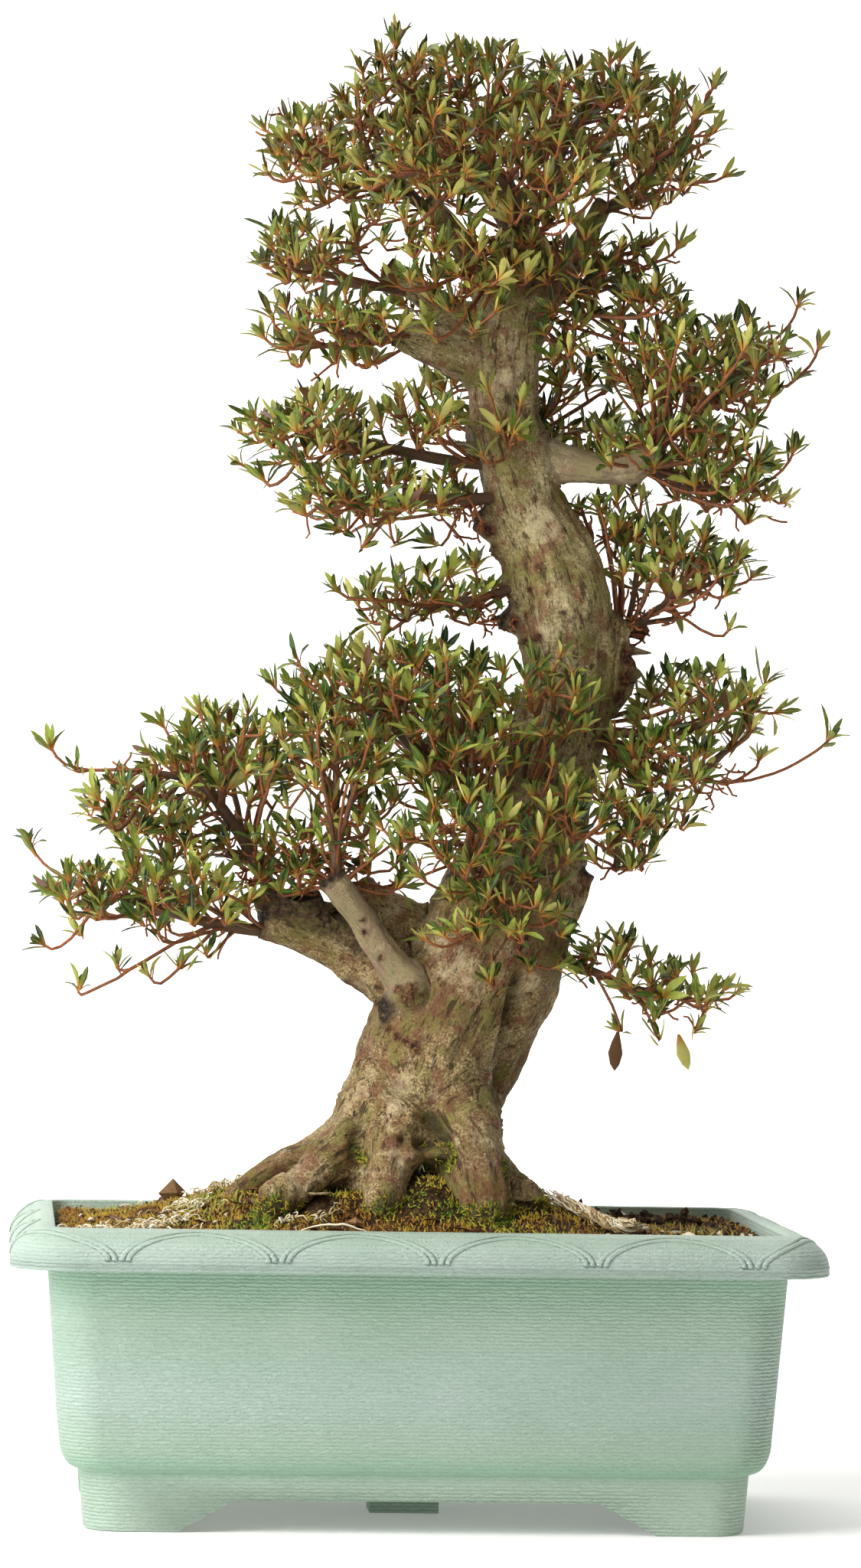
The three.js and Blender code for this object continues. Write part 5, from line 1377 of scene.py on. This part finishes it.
leaf_top = leaf_material(
    "glossy_leaf_top", "#4f3218", 0.36,
    [(0.2, "#16280b"), (0.5, "#304b17"), (0.75, "#566f27"), (1.0, "#979f42")], "#9ba44a", 0.5)
leaf_back = leaf_material(
    "dull_leaf_underside", "#8d6c38", 0.5,
    [(0.2, "#505c23"), (0.5, "#727e30"), (0.75, "#969b45"), (1.0, "#bdb765")], "#bdb668", 0.6)

young_twig = new_material("twig_bark")
twig_age = add_node(young_twig, "ShaderNodeAttribute", {"attribute_name": "girth"})
twig_place = add_node(young_twig, "ShaderNodeTexCoord")
twig_grain = add_node(
    young_twig, "ShaderNodeTexNoise", {"Scale": 1 / TWIG_GRAIN, "Detail": 4.0, "Roughness": 0.7},
    {"Vector": twig_place.outputs["Object"]})
twig_age_tone = add_node(young_twig, "ShaderNodeMath", {"operation": "MULTIPLY_ADD", 1: 0.22},
                         {0: twig_age.outputs["Fac"], 2: twig_grain.outputs["Fac"]})
twig_tone = add_node(
    young_twig, "ShaderNodeValToRGB",
    {"stops": [(0.55, "#a3633a"), (0.85, "#7f4c2d"), (1.0, "#5a4431")]},
    {"Fac": twig_age_tone.outputs["Value"]})
twig_relief = add_node(young_twig, "ShaderNodeBump", {"Strength": 0.5, "Distance": 0.4 * MM},
                       {"Height": twig_grain.outputs["Fac"]})
finish_material(young_twig, {"Roughness": 0.7, "Specular IOR Level": 0.3},
                {"Base Color": twig_tone.outputs["Color"], "Normal": twig_relief.outputs["Normal"]})

# Old leaves that hang from the lowest twigs, brown ones and a pale one: place, way, length, how dead
HANGING_LEAVES = {"right_lowest": [((154, -36, 365), (-0.12, 0.1, -1), 30, 1.0),
                                   ((200, -36, 364), (0.25, 0.1, -1), 28, 0.0)],
                  "right_low": [((236, -30, 604), (-0.3, -0.2, 0.9), 26, 1.0)],
                  "far_left": [((-246, -30, 488), (0.1, 0, -1), 18, 1.0)]}
# Thickets of short bare twigs, over the left limb's end, in the crown and at the old cuts along the
# trunk: middle, half-sizes and number
THICKETS = {
    "far_left_top": (-104, -8, 472, 36, 24, 20, 110), "centre_left_low": (-62, -30, 490, 40, 24, 18, 90),
    "crown_front": (40, -20, 950, 46, 30, 24, 60), "right_low_mid": (160, 0, 680, 26, 22, 26, 50),
    "left_mid_low": (40, -14, 744, 26, 18, 18, 36), "left_low_mid": (58, -12, 672, 22, 18, 16, 30)}
BRONZE_FROM = 700
BRONZE_OVER = 350
TURN_UP = (0, 0, 0.8)
for name, (stems, clouds, reach) in SPRAYS.items():
    tips = spray_tips(clouds, reach)
    spurs = []
    for _ in range(int(len(tips) * SPUR_SHARE)):
        cloud = np.array(clouds[picks.integers(len(clouds))])
        way = unit(picks.normal(size=3))
        root = cloud[:3] + cloud[3:] * way * picks.uniform(0.1, 0.75)
        if picks.random() < 0.5:
            root = np.array(stems[picks.integers(1, len(stems))][:3]) + way * picks.uniform(12, 34)
        spurs.append((root, unit(way + TURN_UP)))
    if name in THICKETS:
        thicket = np.array(THICKETS[name])
        for _ in range(int(thicket[6])):
            way = unit(picks.normal(size=3))
            root = thicket[:3] + thicket[3:6] * way * picks.random() ** 0.4
            spurs.append((root, unit(way + TURN_UP)))
    places, radii, runs, ends = grow_twigs([stems], tips, spurs)
    points, faces, girths = twig_tubes(places, radii, runs, 1)
    twigs = make_piece(f"twigs_{name}", points, faces, [young_twig])
    twigs.data.attributes.new("girth", "FLOAT", "POINT").data.foreach_set("value", girths)
    rows, scales = [], []
    for _, tip, axis, leafy, stalk in ends:
        if not leafy:
            continue
        high = min(1.0, max(0.0, (tip[2] - BRONZE_FROM) / BRONZE_OVER))
        bronze = high * picks.uniform(0.1, 0.9)
        tone = 0.45 - 0.08 * high + picks.normal() * 0.18
        rosette(tip, axis, stalk, rows, scales, tone, bronze)
    for place, way, length, dead in HANGING_LEAVES.get(name, []):
        axis = unit(np.array(way, dtype=float))
        outward = unit(np.array((0.3, -1.0, 0.0)) + axis * axis[1])
        rows.append((*place, *axis, *outward, 0.05, 0.2, length, length * 0.4, 0.2, 0.1, 0.8, 0.0, dead, 0.5))
    leaves = leaf_piece(f"leaves_{name}", rows, scales, [leaf_top, leaf_back])
    for piece, slot in ((twigs, "twig"), (leaves, "leaf")):
        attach(piece, "root")
    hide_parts(f"spray_{name}")

# The soil: dark crumbly potting mix that fills the pot and is heaped round the roots. Nearly all of
# it is grown over with moss, gold-brown in the sun and green in the damp, and litter lies on it.
SOIL_EDGE = 213
SOIL_HALF_WIDTH = 263
SOIL_HALF_DEPTH = 162
SOIL_CORNER = 15
SOIL_GRID = 4.0
HILLS = [(34, 2, -4, 128, 84), (12, -105, -10, 70, 80), (13, 6, -66, 78, 42), (8, -120, 22, 60, 60),
         (6, -190, 10, 50, 80), (5, 92, -40, 40, 40), (13, 8, -84, 30, 26), (8, -62, -86, 20, 22)]
MOSS_SHOOTS = 24000
BARK_MOSS_SHOOTS = 5500
CRUMBS = 1900
WALL_DROP = 30
DUG_FROM = 128
DUG_FADE = 14
HEAPED_FROM = 150
ABOVE_ROOTS = 420
ROOT_MOSS_TOP = 280


def soil_height(x, y):
    """Height of the soil without its clods."""
    height = SOIL_EDGE
    for rise, middle_x, middle_y, spread_x, spread_y in HILLS:
        height = height + rise * np.exp(-((x - middle_x) / spread_x) ** 2 - ((y - middle_y) / spread_y) ** 2)
    return height


def soil_skin(x, y):
    """Height of the soil's skin with its clods."""
    at = Vector((x, y, 0))
    clods = 2.6 * noise.noise(at / 17) + 1.5 * noise.noise(at / 6.5) + 0.7 * noise.noise(at / 2.8)
    return float(soil_height(x, y)) + clods


def into_pot(x, y, inset=0.0):
    """A place moved inside the pot's wall with its rounded corners."""
    half_x, half_y, corner = SOIL_HALF_WIDTH - inset, SOIL_HALF_DEPTH - inset, SOIL_CORNER
    x, y = min(half_x, max(-half_x, x)), min(half_y, max(-half_y, y))
    past_x, past_y = abs(x) - (half_x - corner), abs(y) - (half_y - corner)
    if past_x > 0 and past_y > 0:
        length = math.hypot(past_x, past_y)
        if length > corner:
            x = math.copysign(half_x - corner + past_x * corner / length, x)
            y = math.copysign(half_y - corner + past_y * corner / length, y)
    return x, y


columns = int(2 * SOIL_HALF_WIDTH / SOIL_GRID) + 1
rows_deep = int(2 * SOIL_HALF_DEPTH / SOIL_GRID) + 1
soil_points, soil_faces = [], []
for row in range(rows_deep):
    for column in range(columns):
        x = -SOIL_HALF_WIDTH + 2 * SOIL_HALF_WIDTH * column / (columns - 1)
        y = -SOIL_HALF_DEPTH + 2 * SOIL_HALF_DEPTH * row / (rows_deep - 1)
        x, y = into_pot(x, y)
        soil_points.append((x, y, soil_skin(x, y)))
for row in range(rows_deep - 1):
    for column in range(columns - 1):
        first = row * columns + column
        soil_faces.append((first, first + 1, first + columns + 1, first + columns))
rim_run = list(range(columns)) + [row * columns + columns - 1 for row in range(1, rows_deep)]
rim_run += [(rows_deep - 1) * columns + column for column in range(columns - 2, -1, -1)]
rim_run += [row * columns for row in range(rows_deep - 2, 0, -1)]
first_low = len(soil_points)
for corner in rim_run:
    x, y, z = soil_points[corner]
    soil_points.append((x * 0.99, y * 0.99, z - WALL_DROP))
for step, corner in enumerate(rim_run):
    after = (step + 1) % len(rim_run)
    soil_faces.append((rim_run[after], corner, first_low + step, first_low + after))
soil_faces.append(tuple(range(first_low, len(soil_points)))[::-1])


def moss_share(x, y):
    """How mossy the soil is: bare and crumbly on the right, where it was dug over."""
    bare = 1 / (1 + math.exp(-(x - DUG_FROM) / DUG_FADE))
    patch = noise.noise(Vector((x, y, 40)) / 30)
    return max(0.0, min(1.0, 0.95 - 0.75 * bare + 0.5 * patch))


def greenness(x, y, near_roots):
    """The moss's tone: 0 dry gold-brown to 1 damp green."""
    patch = noise.noise(Vector((x, y, 9)) / 34) + 0.6 * noise.noise(Vector((x, y, 5)) / 11)
    return max(0.0, min(1.0, 0.4 + 0.62 * patch + near_roots))


# Sieved potting mix, dull, its grains 2 to 3 mm; its colour follows the grains' relief, with painted shade
# that makes the hollows nearly black
DIRT_GRAIN = 2.632 * MM
soil_dirt = new_material("crumbly_potting_mix")
dirt_place = add_node(soil_dirt, "ShaderNodeTexCoord")
dirt_grain = add_node(
    soil_dirt, "ShaderNodeTexNoise", {"Scale": 1 / DIRT_GRAIN, "Detail": 5.0, "Roughness": 0.7},
    {"Vector": dirt_place.outputs["Object"]})
dirt_tone_and_hollow_shade = add_node(
    soil_dirt, "ShaderNodeValToRGB",
    {"stops": [(0.35, "#1f150e"), (0.5, "#3b2a1a"), (0.62, "#5c4526"), (0.75, "#7d6435")]},
    {"Fac": dirt_grain.outputs["Fac"]})
dirt_relief = add_node(soil_dirt, "ShaderNodeBump", {"Strength": 0.9, "Distance": 1.2 * MM},
                       {"Height": dirt_grain.outputs["Fac"]})
finish_material(soil_dirt, {"Roughness": 0.95, "Specular IOR Level": 0.2},
                {"Base Color": dirt_tone_and_hollow_shade.outputs["Color"], "Normal": dirt_relief.outputs["Normal"]})
soil = make_piece("potting_mix", soil_points, soil_faces, [soil_dirt])
soil_tree = BVHTree.FromPolygons([Vector(point) for point in soil_points], soil_faces[:-1])


def tone_material(name, stops, rough, grain_size, relief):
    """A dull natural stuff whose colour follows each bit's own tone, its grain given in millimetres."""
    stuff = new_material(name)
    tone = add_node(stuff, "ShaderNodeAttribute", {"attribute_name": "tone"})
    place = add_node(stuff, "ShaderNodeTexCoord")
    grain = add_node(stuff, "ShaderNodeTexNoise", {"Scale": 1 / (grain_size * MM), "Detail": 3.0},
                     {"Vector": place.outputs["Object"]})
    mixed = add_node(stuff, "ShaderNodeMath", {"operation": "MULTIPLY_ADD", 1: 0.3},
                     {0: grain.outputs["Fac"], 2: tone.outputs["Fac"]})
    colour = add_node(stuff, "ShaderNodeValToRGB", {"stops": stops}, {"Fac": mixed.outputs["Value"]})
    bump = add_node(stuff, "ShaderNodeBump", {"Strength": 0.6, "Distance": relief * MM},
                    {"Height": grain.outputs["Fac"]})
    finish_material(stuff, {"Roughness": rough, "Specular IOR Level": 0.25},
                    {"Base Color": colour.outputs["Color"], "Normal": bump.outputs["Normal"]})
    return stuff


def toned_piece(name, points, faces, tones, material, smooth=True):
    """A piece of many small bits, each point with its tone."""
    piece = make_piece(name, points, faces, [material], smooth=smooth)
    piece.data.attributes.new("tone", "FLOAT", "POINT").data.foreach_set("value", tones)
    return piece


moss = tone_material(
    "moss_shoots",
    [(0.1, "#7d5420"), (0.4, "#b38a34"), (0.65, "#aa9c36"), (0.9, "#758828"), (1.0, "#446218")],
    0.8, 3, 0.2)
THREE_SIDES = (0, 2.094, 4.189)
moss_points, moss_faces, moss_tones = [], [], []


def moss_shoot(root, up, tall, wide, tone):
    """One moss shoot: a thin three-sided spike that leans and curls over a little."""
    lean = Vector(picks.normal(size=3)) * 0.45
    way = (up + lean).normalized()
    flat = way.cross(Vector(picks.normal(size=3))).normalized()
    other = way.cross(flat)
    curl = (lean - way * lean.dot(way)) * tall * 0.5
    first = len(moss_points)
    for turn_by in THREE_SIDES:
        moss_points.append(tuple(root + (flat * math.cos(turn_by) + other * math.sin(turn_by)) * wide))
    moss_points.append(tuple(root + way * tall + curl))
    for side in range(3):
        moss_faces.append((first + side, first + (side + 1) % 3, first + 3))
    moss_tones.extend([tone - 0.35] * 3 + [tone])


for _ in range(MOSS_SHOOTS):
    x = picks.uniform(1 - SOIL_HALF_WIDTH, SOIL_HALF_WIDTH - 1)
    x, y = into_pot(x, picks.uniform(1 - SOIL_HALF_DEPTH, SOIL_HALF_DEPTH - 1), 1.5)
    if picks.random() > moss_share(x, y):
        continue
    ground = float(soil_height(x, y))
    if bark_tree.ray_cast(Vector((x, y, ABOVE_ROOTS)), Vector((0, 0, -1)), ABOVE_ROOTS - ground - 2)[0]:
        continue
    near = math.exp(-(bark_tree.find_nearest(Vector((x, y, ground)))[3] / 22) ** 2)
    z = soil_skin(x, y)
    cushion = max(0.0, noise.noise(Vector((x, y, 3)) / 13)) * 5 + 3 * near
    tall = picks.uniform(2.8, 5.4)
    moss_shoot(Vector((x, y, z - 1 + cushion * 0.6)), Vector((0, 0, 1)), tall, picks.uniform(0.6, 1.1),
               greenness(x, y, 0.35 * near) + picks.normal() * 0.1)
above_soil = skin[:, 2] > soil_height(skin[:, 0], skin[:, 1]) - 4
damp_places = np.nonzero((damp_and_hollow_shade > 0.35) & above_soil & (skin[:, 2] < ROOT_MOSS_TOP))[0]
skin_normals = np.empty(len(skin) * 3)
joined.vertices.foreach_get("normal", skin_normals)
skin_normals = skin_normals.reshape(-1, 3)
for index in picks.choice(damp_places, BARK_MOSS_SHOOTS):
    place = skin[index] + picks.normal(size=3) * (0.9, 0.9, 0.9)
    if noise.noise(Vector(place) / 16) < -0.05 and damp_and_hollow_shade[index] < 0.8:
        continue
    moss_shoot(Vector(place), (Vector(skin_normals[index]) + Vector((0, 0, 0.5))).normalized(),
               picks.uniform(3, 6), picks.uniform(0.5, 0.9), 0.86 + picks.normal() * 0.2)
moss_piece = toned_piece("moss", moss_points, moss_faces, moss_tones, moss)

# Loose bits on the soil: crumbs of the mix, bark chips, stones, and white perlite
litter = tone_material(
    "bark_and_soil_bits",
    [(0.1, "#1c130d"), (0.35, "#45301f"), (0.6, "#7a5636"), (0.85, "#a98a62"), (1.0, "#dcd3bf")],
    0.9, 2, 0.3)
litter_points, litter_faces, litter_tones = [], [], []
LUMP = [(1, 0, 0), (-1, 0, 0), (0, 1, 0), (0, -1, 0), (0, 0, 1), (0, 0, -1)]
# Little heaps of dark mix, where it was dug over: x, y and spread
HEAPS = [(150, 40, 7), (175, 35, 9), (190, 48, 6), (206, 30, 7), (166, 55, 6), (222, 42, 6), (184, 10, 6)]
# Single bark chips and stones: x, y, half-sizes and tone
CHIPS = [(-177, 24, (13, 8, 12), 0.55), (-46, -116, (8, 5, 4), 0.5), (-120, -30, (9, 5, 4), 0.4),
         (172, -110, (6, 4, 3), 1.05), (196, -60, (9, 3, 2), 1.0), (150, -135, (5, 4, 3), 1.1),
         (204, -88, (8, 4, 3), 0.95), (138, -128, (5, 4, 3), 1.0), (-226, -70, (8, 5, 4), 0.5)]
LUMP_FACES = [(0, 2, 4), (2, 1, 4), (1, 3, 4), (3, 0, 4), (2, 0, 5), (1, 2, 5), (3, 1, 5), (0, 3, 5)]


def lump(place, sizes, tone):
    """A broken eight-sided bit lying at a random turn."""
    first = len(litter_points)
    turned = Matrix.Rotation(picks.uniform(0, 6.3), 3, "Z")
    turned = turned @ Matrix.Rotation(picks.normal() * 0.4, 3, "X")
    for corner in LUMP:
        rough = [corner[axis] * sizes[axis] * picks.uniform(0.7, 1.2) + picks.normal() * 0.12 * min(sizes)
                 for axis in range(3)]
        litter_points.append(tuple(Vector(place) + turned @ Vector(rough)))
    litter_faces.extend(tuple(first + corner for corner in face) for face in LUMP_FACES)
    litter_tones.extend([tone + picks.normal() * 0.05 for _ in LUMP])


for _ in range(CRUMBS):
    x = picks.uniform(3 - SOIL_HALF_WIDTH, SOIL_HALF_WIDTH - 3)
    x, y = into_pot(x, picks.uniform(3 - SOIL_HALF_DEPTH, SOIL_HALF_DEPTH - 3), 4)
    dug = x > DUG_FROM
    if not dug and picks.random() < 0.72:
        continue
    size = picks.uniform(0.8, 3.2) * (1.4 if x > HEAPED_FROM else 1)
    white = picks.random() < 0.05
    lump((x, y, soil_skin(x, y) + size * 0.3 + (0 if dug else 2.5)), (size, size * 0.8, size * 0.6),
         0.95 if white else picks.uniform(0.0, 0.35 if dug else 0.55))
for x, y, size in HEAPS:
    for _ in range(9):
        at_x, at_y = x + picks.normal() * size, y + picks.normal() * size * 0.5
        lump((at_x, at_y, soil_skin(at_x, at_y) + picks.uniform(0, 7)), (picks.uniform(2, 4.5),) * 3,
             picks.uniform(0, 0.2))
for x, y, sizes, tone in CHIPS:
    lump((x, y, soil_skin(x, y) + sizes[2] * 0.5), sizes, tone)
# A dark stub of bark that stands up on the right, built of six bits
for height in range(6):
    lump((212 + height * 0.5, 20 + picks.normal() * 0.5, soil_skin(214, 20) + 2 + height * 2.1),
         (5.5 - height * 0.7, 3, 2.6), 0.05)
bits = toned_piece(
    "soil_crumbs_and_bark_bits", litter_points, litter_faces, litter_tones, litter, smooth=False)

# Strands that lie on the moss: pale dried sphagnum on the left, a teased bundle of raffia on the
# right, with thin grass, sprouts and curled bark peelings
straw = tone_material(
    "dried_sphagnum_and_raffia",
    [(0.1, "#7e6236"), (0.35, "#a98d5c"), (0.6, "#cdb98d"), (0.85, "#ddd0ae"), (1.0, "#efe8d4")],
    0.85, 2, 0.2)
LIFT = 2.2
# Where the sphagnum lies: middle, spread and number of strands
SPHAGNUM = [
    (-250, -125, 14, 10, 20), (-228, -118, 18, 12, 36), (-200, -105, 18, 14, 46), (-182, -80, 20, 16, 44),
    (-168, -40, 20, 14, 36), (-148, 0, 18, 12, 30), (-128, 24, 16, 10, 26), (-96, -112, 12, 6, 12),
    (-200, -128, 40, 6, 18), (-70, -108, 8, 6, 8), (60, 120, 90, 20, 30), (-120, 110, 80, 24, 26)]
RAFFIA_START, RAFFIA_END, RAFFIA_GIRTH, RAFFIA_STRANDS = (98, -34), (164, -92), 7.5, 200
strand_nodes, strand_radii, strand_runs, strand_tones = [], [], [], []


def strand(place, way, length, radius, wave, rise, tone, steps=6):
    """A thin fibre that wanders over the soil from a place along a way."""
    run = []
    at, heading = Vector(place), Vector(way).normalized()
    for step in range(steps + 1):
        run.append(len(strand_nodes))
        arch = rise * math.sin(math.pi * (step + 0.6) / (steps + 1.2))
        strand_nodes.append((at.x, at.y, soil_skin(at.x, at.y) + arch + radius + LIFT))
        strand_radii.append(radius * (1 - 0.6 * abs(2 * step / steps - 1) ** 2))
        heading = (heading + Vector((picks.normal(), picks.normal(), 0)) * wave).normalized()
        at = at + heading * length / steps
    strand_runs.append(run)
    strand_tones.append(tone)


for middle_x, middle_y, spread_x, spread_y, count in SPHAGNUM:
    for _ in range(count):
        x = middle_x + picks.normal() * spread_x * 0.6
        x, y = into_pot(x, middle_y + picks.normal() * spread_y * 0.6, 6)
        strand((x, y, 0), (picks.normal(), picks.normal() * 0.6, 0), picks.uniform(6, 16),
               picks.uniform(0.35, 0.85), 0.75, picks.uniform(0, 5), picks.uniform(0.25, 0.95))
for _ in range(RAFFIA_STRANDS):
    first = picks.uniform(0, 0.75)
    last = min(1.06, first + picks.uniform(0.25, 0.6))
    offset = RAFFIA_GIRTH * picks.random() ** 0.5
    turned, curl = picks.uniform(0, 6.3), picks.normal() * 7
    run = []
    for step in range(9):
        share = first + (last - first) * step / 8
        spin = turned + 7 * share + picks.normal() * 0.25
        wide = offset * (0.75 + 0.5 * share) + curl * (step / 8) ** 2
        x = RAFFIA_START[0] + (RAFFIA_END[0] - RAFFIA_START[0]) * share + 6 * math.sin(5 * share)
        y = RAFFIA_START[1] + (RAFFIA_END[1] - RAFFIA_START[1]) * share
        x, y = x + 0.72 * wide * math.cos(spin), y + 0.7 * wide * math.cos(spin)
        run.append(len(strand_nodes))
        above = 2.5 + 0.55 * (RAFFIA_GIRTH + offset * math.sin(spin))
        strand_nodes.append((x, y, soil_skin(x, y) + above + picks.uniform(-1, 1)))
        strand_radii.append(0.75 - 0.4 * abs(step / 4 - 1) ** 2)
    strand_runs.append(run)
    strand_tones.append(picks.uniform(0.05, 0.95))
strand((-88, -140, 0), (1, 0.2, 0), 52, 1.0, 0.12, 5, 0.75, 10)
strand((4, -60, 0), (0.1, -1, 0), 14, 0.8, 0.1, 8, 0.95)
strand_points, strand_faces, _ = twig_tubes(np.array(strand_nodes), np.array(strand_radii), strand_runs, 0)
tones_by_point = [tone for run, tone in zip(strand_runs, strand_tones) for _ in range(TWIG_SIDES * len(run))]
strands = toned_piece("sphagnum_and_raffia", strand_points, strand_faces, tones_by_point, straw)

# Fallen leaves, grass blades and sprouts, each one grown or dropped by itself. Sprouts stand in
# patches, given by their middle, spread, number and tone.
FALLEN_LEAVES = 90
SPROUTS = [(-140, -60, 14, 60, 0.75), (-160, -40, 8, 26, 0.8), (212, -70, 14, 36, 0.95),
           (-222, 40, 10, 14, 0.9), (120, -140, 3, 3, 0.9), (40, 125, 60, 30, 0.7)]
fallen_rows, sprout_scales = [], []
for _ in range(FALLEN_LEAVES):
    x, y = into_pot(picks.uniform(-250, 250) * picks.uniform(0.3, 1), picks.uniform(-150, 150), 10)
    turn_by = picks.uniform(0, 2 * math.pi)
    outward = np.array((math.cos(turn_by), math.sin(turn_by), 0.0))
    if bark_tree.find_nearest(Vector((x, y, soil_skin(x, y) + 4)))[3] < 5:
        continue
    lean, bend = picks.uniform(1.35, 1.75), picks.normal() * 0.7
    fallen_rows.append((x, y, soil_skin(x, y) + 4.5, 0, 0, 1, *outward, lean, bend,
                        picks.uniform(12, 22), picks.uniform(4, 6.5), picks.uniform(0.3, 1.0),
                        picks.normal(), picks.uniform(0.2, 0.9), 0.3, 1.0, picks.random()))
for middle_x, middle_y, spread, count, tone in SPROUTS:
    for _ in range(count):
        x = middle_x + picks.normal() * spread
        x, y = into_pot(x, middle_y + picks.normal() * spread * 0.6, 5)
        turn_by = picks.uniform(0, 2 * math.pi)
        outward = np.array((math.cos(turn_by), math.sin(turn_by), 0.0))
        sprout_scales.append((x, y, soil_skin(x, y) + 1, 0, 0, 1, *outward, picks.uniform(0.1, 0.9), 0.4,
                              picks.uniform(5, 12), picks.uniform(0.9, 2.2), 0.3, 0.2, tone, 0.0,
                              -0.1 if middle_x < 100 else -0.7, picks.random()))
fallen = leaf_piece("fallen_leaves_and_sprouts", fallen_rows, sprout_scales, [leaf_top, leaf_back])
for piece, slot in ((soil, "soil_and_moss"), (moss_piece, "soil_and_moss"), (bits, "soil_and_moss"),
                    (strands, "soil_and_moss"), (fallen, "leaf")):
    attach(piece, "root")
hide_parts("soil")
